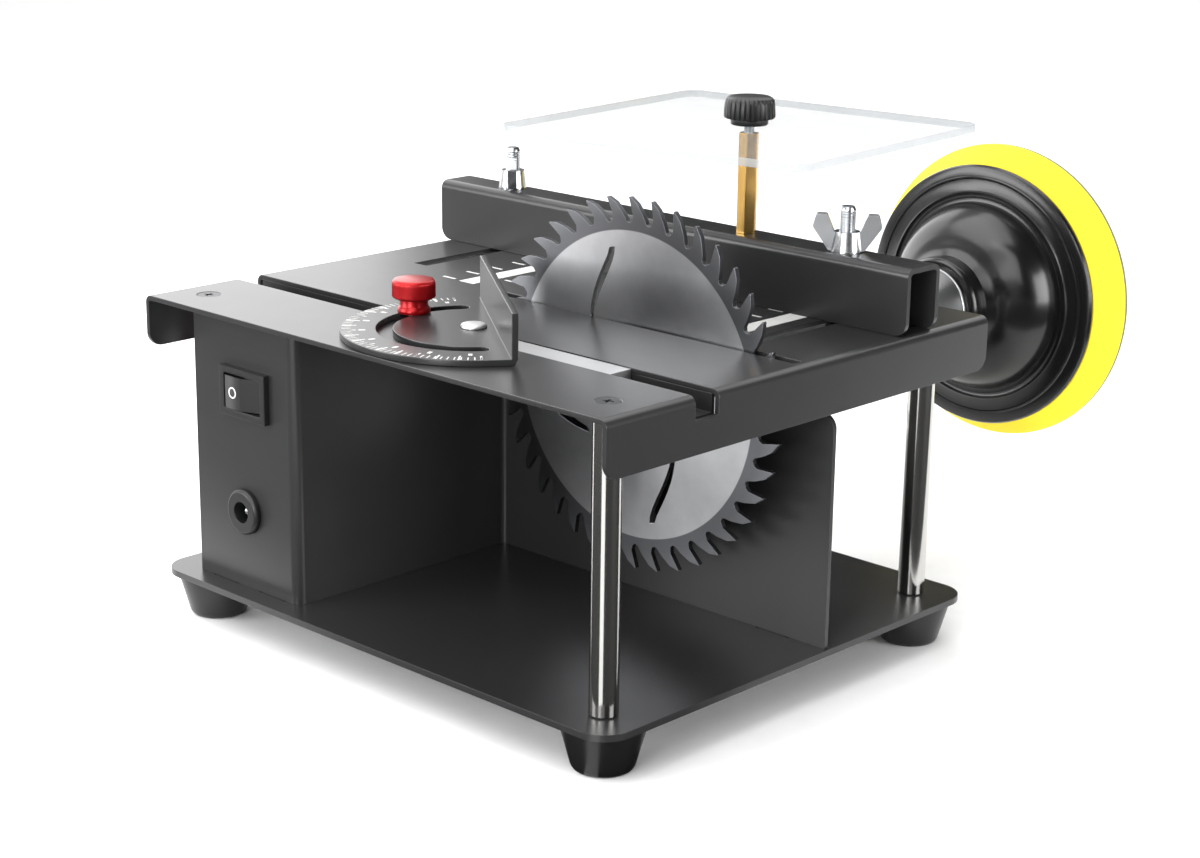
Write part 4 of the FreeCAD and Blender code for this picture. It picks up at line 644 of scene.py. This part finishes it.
def at_corners(name: str, unit: Piece, reach: tuple[float, float],
               finish: Finish) -> Piece:
    """Repeats one piece at the four corners of the saw.

    Args:
        name: the new piece's name.
        unit: the piece, standing at the middle of the saw; it is used up.
        reach: the corners' distance from the middle along X and Y.
        finish: what they are made of.

    Returns:
        The four pieces as one mesh.
    """
    four = Repeat(f"{name}_corners", {
        "Unit": ("NodeSocketObject", unit), "Length": ("NodeSocketFloat", 2 * reach[0]),
        "Width": ("NodeSocketFloat", 2 * reach[1])})
    grid = add(four.tree, "GeometryNodeMeshGrid", {
        "Size X": four.given["Length"], "Size Y": four.given["Width"], "Vertices X": 2, "Vertices Y": 2})
    shape = add(four.tree, "GeometryNodeObjectInfo", {"Object": four.given["Unit"]},
                transform_space="ORIGINAL")
    spread = add(four.tree, "GeometryNodeInstanceOnPoints", {
        "Points": grid.outputs[0], "Instance": shape.outputs["Geometry"]})
    four.end(spread.outputs[0], finish.material())
    piece = four.run(name)
    bpy.data.objects.remove(unit)
    return piece


# ------------ sub-assemblies
@dataclass
class Stand:
    """Base plate, feet, posts and the screws that hold them."""

    post_x: float = 82.3
    post_y: float = 67.3
    post_radius: float = 4.0
    post_chamfer: float = 0.4
    head_radius: float = 3.7
    screw_top: float = 87.4
    screw_end: float = 77.0
    shank_radius: float = 1.95

    def build(self) -> None:
        """Makes and dresses every piece of the stand."""
        corner = (self.post_x * MM, self.post_y * MM)
        cad_piece("base_plate", COAT, 0.5)
        for name, unit, finish, node in (
                ("posts_bright", self.post(), POST_CHROME, "corner_posts"),
                ("feet_moulded", self.foot(), FOOT_RUBBER, "rubber_feet"),
                ("table_screw_heads", self.screw(), BLACK_SCREW, "table_screws")):
            dressed(at_corners(name, unit, corner, finish), finish, "frame", [node])
        cad_piece("foot_screws", ZINC, 0.2)

    def post(self) -> Piece:
        """One round post with a small chamfer at each end."""
        low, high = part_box("corner_posts")
        foot, top, radius = low.z / MM, high.z / MM, self.post_radius
        end = self.post_chamfer
        return turned("post_unit", [
            (0, foot), (radius - end, foot), (radius, foot + end), (radius, top - end), (radius - end, top),
            (0, top)], Vector(), steps=64)

    def foot(self) -> Piece:
        """One tapered foot, rounded at its sole and hollow for its screw."""
        sole = eased([(8.6 + 0.25, -11.4), (8.45, -12.2), (7.9, -12.75), (7.1, -13.0)], 4)
        return turned("foot_unit", [
            (2.3, 0), (11.2, 0), (11.65, -0.25), (11.75, -0.8), *sole, (4.5, -13.0), (4.1, -12.6),
            (4.1, -7.0), (2.3, -7.0)], Vector(), steps=72)

    def screw(self) -> Piece:
        """One countersunk screw with a cross recess."""
        top, under, shank = self.screw_top, self.screw_end, self.shank_radius
        unit = turned("screw_unit", [
            (0, under), (1.5, under), (shank, under + 0.6), (shank, 86.0),
            (self.head_radius - 0.15, top - 0.2), (self.head_radius - 0.3, top), (0, top)],
            Vector(), steps=48)
        for turn in (0.35, 0.35 + math.pi / 2):
            blade = mesh_from("recess", [
                Matrix.Rotation(turn, 3, "Z") @ Vector((x, y, z)) * MM
                for x, y, z in ((-2.1, -0.45, top + 1), (2.1, -0.45, top + 1), (2.1, 0.45, top + 1),
                                (-2.1, 0.45, top + 1), (-0.9, -0.35, top - 1.3), (0.9, -0.35, top - 1.3),
                                (0.9, 0.35, top - 1.3), (-0.9, 0.35, top - 1.3))],
                [(0, 1, 2, 3), (7, 6, 5, 4), (0, 4, 5, 1), (1, 5, 6, 2), (2, 6, 7, 3), (3, 7, 4, 0)])
            carve = unit.modifiers.new("recess", "BOOLEAN")
            carve.object = blade
            carve.solver = "EXACT"
            baked(unit)
            bpy.data.objects.remove(blade)
        return unit


@dataclass
class Table:
    """Table sheet, its printed scales and the folded panel under it."""

    top: float = 87.5
    ink: float = 0.05
    bar_width: float = 6.3
    bar_start: float = 0.0
    bar_end: float = 78.0
    left_bar: float = -41.9
    right_bar: float = 56.2
    tick_length: float = 5.4
    tick_gap: float = 8.6
    tick_pitch: float = 10.0

    def build(self) -> None:
        """Makes and dresses the table."""
        cad_piece("table_top", COAT, 0.3)
        cad_piece("mitre_channel", COAT, 0.15)
        cad_piece("folded_panel", COAT, 0.3)
        self.scale("left", self.left_bar, {"near": -self.tick_gap, "far": self.tick_gap})
        self.scale("right", self.right_bar, {"near": -self.tick_gap})

    def scale(self, side: str, x: float, rows: dict[str, float]) -> None:
        """Prints one scale bar with its ticks.

        Args:
            side: the end of the table it is at.
            x: the bar's middle.
            rows: each row of ticks and its distance from the bar's middle.
        """
        z = self.top + self.ink / 2
        middle = (self.bar_start + self.bar_end) / 2
        bar = mark_row(f"scale_bar_{side}", Vector((x, middle, z)) * MM, Vector(), 1,
                       Vector((self.bar_width, self.bar_end - self.bar_start, self.ink)) * MM, INK)
        dressed(bar, INK, "frame")
        count = int((self.bar_end - self.bar_start) / self.tick_pitch)
        for way, shift in rows.items():
            ticks = mark_row(f"scale_ticks_{side}_{way}",
                             Vector((x + shift, self.bar_start + 1.0, z)) * MM,
                             Vector((0, self.tick_pitch * MM, 0)), count,
                             Vector((self.tick_length, 0.9, self.ink)) * MM, INK)
            dressed(ticks, INK, "frame")


@dataclass
class Switchgear:
    """Rocker switch and power inlet on the front face."""

    ring_radius: float = 1.5
    ring_wire: float = 0.22
    ring_thick: float = 0.06

    def build(self) -> None:
        """Makes and dresses the switch and the inlet."""
        cad_piece("switch_case", MOULDED, 0.3)
        dressed(self.rocker(), MOULDED, "switch_rocker", ["rocker"])
        dressed(self.off_mark(), INK, "switch_rocker")
        cad_piece("jack_body", MOULDED, 0.3)
        cad_piece("jack_pin", ZINC, 0.15)
        cad_piece("jack_nut", MOULDED, 0.2)

    def rocker(self) -> Piece:
        """The rocker: its near half flat and raised, its far half sunk, meeting at a rounded ridge."""
        low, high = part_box("rocker")
        width = high.x - low.x
        ridge = low.x + width * 0.52
        face = [(low.x, low.y + 0.35 * MM), (low.x + 0.3 * MM, low.y + 0.05 * MM)]
        face += [(ridge - (0.9 - 0.3 * k) * MM, low.y + 0.02 * k * k * MM) for k in range(3)]
        face += [(ridge + 0.35 * MM, low.y + 0.3 * MM), (ridge + 0.6 * MM, low.y + 0.75 * MM),
                 (high.x - 0.4 * MM, low.y + 3.0 * MM), (high.x, low.y + 3.5 * MM)]
        outline = [*face, (high.x, high.y), (low.x, high.y)]
        count = len(outline)
        verts = [(x, y, z) for z in (low.z, high.z) for x, y in outline]
        faces = [tuple(range(count)), tuple(range(2 * count - 1, count - 1, -1))]
        faces += [(k, (k + 1) % count, (k + 1) % count + count, k + count) for k in range(count)]
        return mesh_from("rocker_moulded", verts, faces, 50.0)

    def off_mark(self) -> Piece:
        """The ring printed on the raised half of the rocker."""
        low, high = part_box("rocker")
        centre = Vector((low.x + 3.6 * MM, low.y + 0.06 * MM, (low.z + high.z) / 2))
        outer, inner = self.ring_radius + self.ring_wire, self.ring_radius - self.ring_wire
        ring = [(inner, 0), (outer, 0), (outer, -self.ring_thick), (inner, -self.ring_thick)]
        return turned("off_mark", ring, centre, Along.BACK, 40)


@dataclass
class Drive:
    """Motor, blade and sanding pad, all about the one shaft."""

    shaft_x: float = 31.0
    shaft_z: float = 69.3
    mouth: float = 143.4
    foam_front: float = 170.8
    back: float = 182.2
    rim: float = 44.0
    pad: float = 50.0
    hook: float = 1.4
    adapter_length: float = 22.0
    adapter_radius: float = 13.7

    @property
    def centre(self) -> Vector:
        """A point on the shaft's axis."""
        return Vector((self.shaft_x, 0, self.shaft_z)) * MM

    def build(self) -> None:
        """Makes and dresses every piece of the drive."""
        dressed(softened("saw_blade", 0.12, smooth=28.0), BLADE, "spindle", ["saw_blade"])
        for node, finish in (("blade_arbor", TURNED), ("clamp_washer", TURNED), ("arbor_nut", ZINC)):
            cad_piece(node, finish, 0.25)
        dressed(self.adapter(), TURNED, "spindle", ["pad_adapter"])
        dressed(self.hub(), HUB_GLOSS, "spindle", ["pad_hub"])
        dressed(self.foam(), FOAM, "spindle", ["pad_foam"])
        cad_piece("pad_hook_face", HOOK, 0.3)
        inner = {
            "motor_can": CAN, "motor_end_cap": MOULDED, "front_bearing": ZINC, "rear_bearing": ZINC,
            "field_magnets": FERRITE, "carbon_brushes": CARBON, "motor_terminals": TIN_BRASS,
            "motor_screws": ZINC, "motor_shaft": TURNED, "armature_core": LAMINATION,
            "armature_windings": COPPER, "commutator": COPPER}
        for node, finish in inner.items():
            cad_piece(node, finish, 0.15)

    def adapter(self) -> Piece:
        """The steel adapter between the shaft and the pad's hub."""
        front, radius, mouth = self.mouth - self.adapter_length, self.adapter_radius, self.mouth
        return turned("pad_adapter_turned", [
            (3.0, front - 26), (7.0, front - 26), (7.5, front - 25.5), (7.5, front - 0.5), (8.0, front),
            (radius - 1, front), (radius, front + 1), (radius, mouth - 2.2), (radius - 0.35, mouth - 2.0),
            (radius - 0.35, mouth - 1.6), (radius, mouth - 1.4), (radius, mouth - 1.0),
            (radius - 0.9, mouth - 0.1), (5.0, mouth), (5.0, mouth + 15.4), (4.4, mouth + 16),
            (0, mouth + 16), (0, front), (3.0, front)], self.centre, Along.BACK, 128)

    def hub(self) -> Piece:
        """The moulded hub: a stepped neck, a bell and a flat flange with raised rings."""
        m, f, rim = self.mouth, self.foam_front, self.rim
        bell = eased([(16.8, m + 8.2), (18.6, m + 9.6), (22.6, m + 11.6), (27.2, m + 15.0),
                      (30.2, m + 19.4), (31.6, m + 23.0), (32.1, m + 24.4)], 8)
        flange = [(33.2, m + 24.7), (34.6, m + 24.6), (35.3, m + 24.2), (36.0, m + 24.6), (39.5, m + 24.9),
                  (39.8, m + 24.6), (40.3, m + 24.6), (40.6, m + 24.95), (rim - 1.2, f - 2.3),
                  (rim - 0.2, f - 1.9), (rim + 0.3, f - 1.1), (rim + 0.1, f - 0.2), (rim - 0.4, f)]
        neck = [(14.6, m), (15.5, m + 0.2), (16.2, m + 1.0), (16.4, m + 2.0), (16.4, m + 6.8),
                (15.9, m + 7.3)]
        profile = [(5.0, m), *neck, *bell, *flange, (5.0, f)]
        return turned("pad_hub_moulded", profile, self.centre, Along.BACK, 192)

    def foam(self) -> Piece:
        """The foam ring, flared to the abrasive's size."""
        f, end = self.foam_front, self.back - self.hook
        side = eased([(self.rim + 0.4, f + 0.15), (46.4, f + 3.2), (48.6, f + 6.6), (49.7, f + 8.8),
                      (self.pad, end)], 5)
        profile = [(0, f), (self.rim - 0.6, f), *side, (0, end)]
        return turned("pad_foam_ring", profile, self.centre, Along.BACK, 160)


@dataclass
class Fence:
    """Fence, its bolts and wing nuts, and the shield on its pillar."""

    bolt_radius: float = 2.45
    thread_depth: float = 0.45
    thread_pitch: float = 0.8
    head_length: float = 3.2

    def build(self) -> None:
        """Makes and dresses the fence."""
        cad_piece("rip_fence", COAT, 0.3)
        dressed(self.bolts(), ZINC, "fence", ["fence_bolts"])
        cad_piece("left_wing_nut", ZINC, 0.6)
        cad_piece("right_wing_nut", ZINC, 0.6)
        cad_piece("shield_pillar", BRASS, 0.25)
        cad_piece("pillar_screw", ZINC, 0.2)
        cad_piece("clear_shield", ACRYLIC, 0.2)
        dressed(self.knob(), MOULDED, "shield_clamp", ["shield_knob"])
        cad_piece("shield_knob_stud", ZINC, 0.2)

    def bolts(self) -> Piece:
        """Both threaded fence bolts with their square heads under the table."""
        low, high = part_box("fence_bolts")
        half = (high.y - low.y) / 2 / MM
        middle = (low.y + high.y) / 2
        pieces = []
        for x in (low.x + half * MM, high.x - half * MM):
            start, end = low.z / MM + self.head_length, high.z / MM
            crest, root = self.bolt_radius, self.bolt_radius - self.thread_depth
            profile = [(0.0, start), (root, start)]
            z = low.z / MM + 3.4
            while z < end - 1.0:
                profile += [(root, z), (crest, z + self.thread_pitch * 0.45),
                            (crest, z + self.thread_pitch * 0.55)]
                z += self.thread_pitch
            profile += [(crest - 0.6, end), (0.0, end)]
            pieces.append(turned("thread", profile, Vector((x, middle, 0)), steps=32, smooth=60))
            side = half - 0.3
            z0, z1 = low.z / MM, start
            corners = [Vector((x / MM + a * side, middle / MM + b * side, z)) * MM
                       for z in (z0, z1) for a, b in ((-1, -1), (1, -1), (1, 1), (-1, 1))]
            head = mesh_from("head", corners, [(0, 3, 2, 1), (4, 5, 6, 7), (0, 1, 5, 4), (1, 2, 6, 5),
                                               (2, 3, 7, 6), (3, 0, 4, 7)])
            pieces.append(head)
        return joined("fence_bolts_threaded", pieces)

    def knob(self) -> Piece:
        """The ribbed knob that clamps the shield."""
        low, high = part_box("shield_knob")
        centre = Vector(((low.x + high.x) / 2, (low.y + high.y) / 2, 0))
        z, top = low.z / MM, high.z / MM
        ribbed = range(4, 8)

        def ribs(number: int, angle: float) -> float:
            """Grip ribs round the head only."""
            return -0.42 * max(0.0, math.cos(30 * angle)) if number in ribbed else 0.0

        return turned("shield_knob_ribbed", [
            (1.5, z), (5.3, z), (5.6, z + 0.3), (5.6, z + 1.6), (7.4, z + 2.0), (7.7, z + 2.5),
            (7.45, top - 2.2), (7.2, top - 1.4), (6.8, top - 0.75), (6.0, top - 0.3), (3.0, top - 0.05),
            (0, top), (0, top - 2.2), (1.5, top - 2.2)], centre, steps=240, wave=ribs, smooth=50)


def joined(name: str, pieces: Sequence[Piece]) -> Piece:
    """Joins objects into one mesh.

    Args:
        name: the new piece's name.
        pieces: the objects; they are used up.

    Returns:
        The joined object.
    """
    work = bmesh.new()
    for piece in pieces:
        work.from_mesh(piece.data)
    mesh = bpy.data.meshes.new(name)
    work.to_mesh(mesh)
    work.free()
    for piece in pieces:
        bpy.data.objects.remove(piece)
    return new_object(name, mesh)


@dataclass
class MitreGauge:
    """Slide bar, protractor with its printed dial, and the red knob."""

    pivot_x: float = 7.6
    pivot_y: float = -43.5
    turn: float = 53.0
    plate_top: float = 89.35
    rim: float = 37.5
    ink: float = 0.05

    def build(self) -> None:
        """Makes and dresses the gauge."""
        cad_piece("mitre_bar", BAR, 0.25)
        cad_piece("protractor", COAT, 0.25)
        dressed(self.rivet(), BAR, "mitre_slide", ["gauge_pivot"])
        cad_piece("gauge_stud", ZINC, 0.2)
        dressed(self.knob(), RED_ANODISED, "mitre_clamp", ["gauge_knob"])
        centre = Vector((self.pivot_x, self.pivot_y, self.plate_top + self.ink / 2)) * MM
        first, last = math.radians(90 + self.turn), math.radians(270 + self.turn)
        for name, count, length, wide in (("dial_fine", 61, 2.6, 0.32), ("dial_ten", 19, 4.0, 0.55)):
            step = (last - first - math.radians(6)) / (count - 1)
            marks = mark_dial(name, centre, (self.rim - 0.5 - length / 2) * MM, first + math.radians(3),
                              step, count, Vector((length, wide, self.ink)) * MM, INK)
            dressed(marks, INK, "mitre_head")
        figures = mark_dial("dial_figures", centre, (self.rim - 6.2) * MM, first + math.radians(8),
                            math.radians(20.5), 9, Vector((1.9, 1.1, self.ink)) * MM, INK)
        dressed(figures, INK, "mitre_head")

    def rivet(self) -> Piece:
        """The domed pivot rivet."""
        low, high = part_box("gauge_pivot")
        top, foot = high.z / MM, low.z / MM
        centre = Vector((self.pivot_x, self.pivot_y, 0)) * MM
        head = eased([(3.8, top - 1.25), (3.75, top - 0.8), (3.2, top - 0.3), (1.8, top - 0.05),
                      (0.0, top)], 4)
        profile = [(0, foot), (2.0, foot), (2.0, top - 1.3), *head]
        return turned("gauge_pivot_rivet", profile, centre, steps=48)

    def knob(self) -> Piece:
        """The turned and knurled red knob."""
        low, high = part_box("gauge_knob")
        centre = Vector(((low.x + high.x) / 2, (low.y + high.y) / 2, 0))
        z, top = low.z / MM, high.z / MM
        head = [(6.1, z + 4.6), *[(6.28, z + 4.9 + 0.42 * k) for k in range(10)], (6.05, top - 0.55)]
        profile = [(1.99, z), (4.6, z), (4.8, z + 0.25), (4.8, z + 1.2), (4.3, z + 1.9), (4.1, z + 2.3),
                   (4.1, z + 4.0), (5.6, z + 4.25), *head, (5.7, top - 0.12), (5.2, top), (0, top),
                   (0, top - 1.5), (1.99, top - 1.5)]
        first = 8

        def knurl(number: int, angle: float) -> float:
            """Crossed grooves round the head only."""
            level = number - first
            if not 0 < level < len(head) - 1:
                return 0.0
            return -0.22 * max(0.0, math.cos(60 * angle + (level % 2) * math.pi))

        return turned("gauge_knob_knurled", profile, centre, steps=360, wave=knurl, smooth=50)


@dataclass
class Wiring:
    """Switch tabs and the three leads."""

    def build(self) -> None:
        """Dresses the wiring."""
        cad_piece("switch_terminals", TIN_BRASS, 0.1)
        leads = {"inlet_lead": RED_WIRE, "switched_lead": RED_WIRE, "return_lead": BLACK_WIRE}
        for node, finish in leads.items():
            cad_piece(node, finish, 0.05)


# ------------ studio
@dataclass
class Studio:
    """Floor, dark cards, sky, lamps and camera."""

    eye: tuple[float, float, float] = (0.47918, -0.48836, 0.24694)
    right: tuple[float, float, float] = (0.722611, 0.691125, 0.0134)
    down: tuple[float, float, float] = (0.200978, -0.191507, -0.960694)
    ahead: tuple[float, float, float] = (-0.661393, 0.696901, -0.277286)
    lens: float = 71.17
    floor_z: float = -0.0131
    flag_at: tuple[float, float] = (0.0823, -0.0673)
    flag_reach: float = 1.6
    flag_lift: float = 0.0006

    def build(self) -> None:
        """Sets up everything that isn't the saw."""
        self.floor()
        self.flags()
        self.sky()
        self.lamps()
        self.camera()
        bpy.context.scene.view_settings.view_transform = "Standard"

    def floor(self) -> None:
        """A wide pale floor."""
        reach = 12.0
        floor = mesh_from("studio_floor", [(-reach, -reach, self.floor_z), (reach, -reach, self.floor_z),
                                           (reach, reach, self.floor_z), (-reach, reach, self.floor_z)],
                          [(0, 1, 2, 3)])
        floor.data.materials.append(Finish("pale_floor", "#F7F7F7", 0.85, relief_um=0.0).material())

    def flags(self) -> None:
        """Dark cards low in front, seen only in reflections, with a bright gap between them."""
        dark = Finish("black_card", "#0C0C0C", 0.9, relief_um=0.0).material()
        for name, first, last in (("flag_left", -165.0, -84.0), ("flag_right", -56.0, 62.0)):
            steps = 12
            rim = [math.radians(first + (last - first) * k / steps) for k in range(steps + 1)]
            x, y, z = *self.flag_at, self.floor_z + self.flag_lift
            verts = [(x, y, z)]
            verts += [(x + self.flag_reach * math.cos(a), y + self.flag_reach * math.sin(a), z) for a in rim]
            card = mesh_from(name, verts, [(0, k, k + 1) for k in range(1, steps + 1)])
            card.data.materials.append(dark)
            card.visible_camera = card.visible_diffuse = False
            card.visible_shadow = card.visible_transmission = False

    def sky(self) -> None:
        """A soft surround, bright at the left and front and dark behind the right."""
        world = bpy.data.worlds.new("studio")
        bpy.context.scene.world = world
        world.use_nodes = True
        tree = world.node_tree
        tree.nodes.clear()
        way = add(tree, "ShaderNodeTexCoord").outputs["Generated"]
        side = math.radians(43.0)
        lean = add(tree, "ShaderNodeVectorMath", {0: way, 1: (-math.cos(side), -math.sin(side), 0.0)},
                   operation="DOT_PRODUCT")
        ramp = add(tree, "ShaderNodeMapRange", {
            "Value": lean.outputs["Value"], "From Min": -0.02, "From Max": 0.32,
            "To Min": 0.02, "To Max": 1.15}, interpolation_type="SMOOTHSTEP")
        light = add(tree, "ShaderNodeBackground", {"Strength": ramp.outputs[0]})
        add(tree, "ShaderNodeOutputWorld", {"Surface": light.outputs[0]})

    def lamps(self) -> None:
        """Seven soft lamps: overhead, at both sides, over the floor behind, and three in front."""
        self.lamp("overhead", (-0.25, -0.35, 1.5), (0.0, 0.05, 0.05), 1.6, 26.0)
        self.lamp("left_box", (-0.88, 0.235, 0.42), (-0.03, 0.0, 0.09), 0.86, 5.5)
        self.lamp("right_fill", (1.3, 0.3, 0.34), (0.08, 0.0, 0.06), 0.7, 13.0)
        self.lamp("floor_wash", (-0.6, 2.6, 2.2), (-0.9, 1.8, 0.0), 3.0, 60.0)
        self.lamp("front_wash", (0.9, -1.5, 1.3), (0.25, -0.25, 0.0), 1.4, 18.0)
        self.lamp("front_low", (0.36, -1.45, 0.26), (0.0, 0.0, 0.05), 0.5, 9.0)
        self.lamp("front_left", (-0.85, -1.25, 0.4), (-0.05, 0.0, 0.05), 0.8, 14.0)

    def lamp(self, name: str, place: Sequence[float], aim: Sequence[float], size: float,
             power: float) -> None:
        """Hangs one square lamp.

        Args:
            name: the lamp's name.
            place: where it is.
            aim: what it points at.
            size: its side in metres.
            power: its power in watts.
        """
        data = bpy.data.lights.new(name, "AREA")
        data.size = size
        data.energy = power
        lamp = bpy.data.objects.new(name, data)
        bpy.context.scene.collection.objects.link(lamp)
        lamp.location = place
        lamp.rotation_euler = (Vector(aim) - Vector(place)).to_track_quat("-Z", "Y").to_euler()

    def camera(self) -> None:
        """Sets the camera."""
        data = bpy.data.cameras.new("view")
        data.lens = self.lens
        data.sensor_width = 36.0
        data.clip_start = 0.01
        camera = bpy.data.objects.new("view", data)
        bpy.context.scene.collection.objects.link(camera)
        across, up, back = Vector(self.right), -Vector(self.down), -Vector(self.ahead)
        turn = Matrix((across, up, back)).transposed().to_4x4()
        camera.matrix_world = Matrix.Translation(self.eye) @ turn
        bpy.context.scene.camera = camera


def main() -> None:
    """Builds the saw and its studio."""
    logging.basicConfig(level=logging.INFO, format="%(name)s %(message)s")
    for part in (Stand(), Table(), Switchgear(), Drive(), Fence(), MitreGauge(), Wiring()):
        part.build()
    Studio().build()


if __name__ == "__main__":
    main()
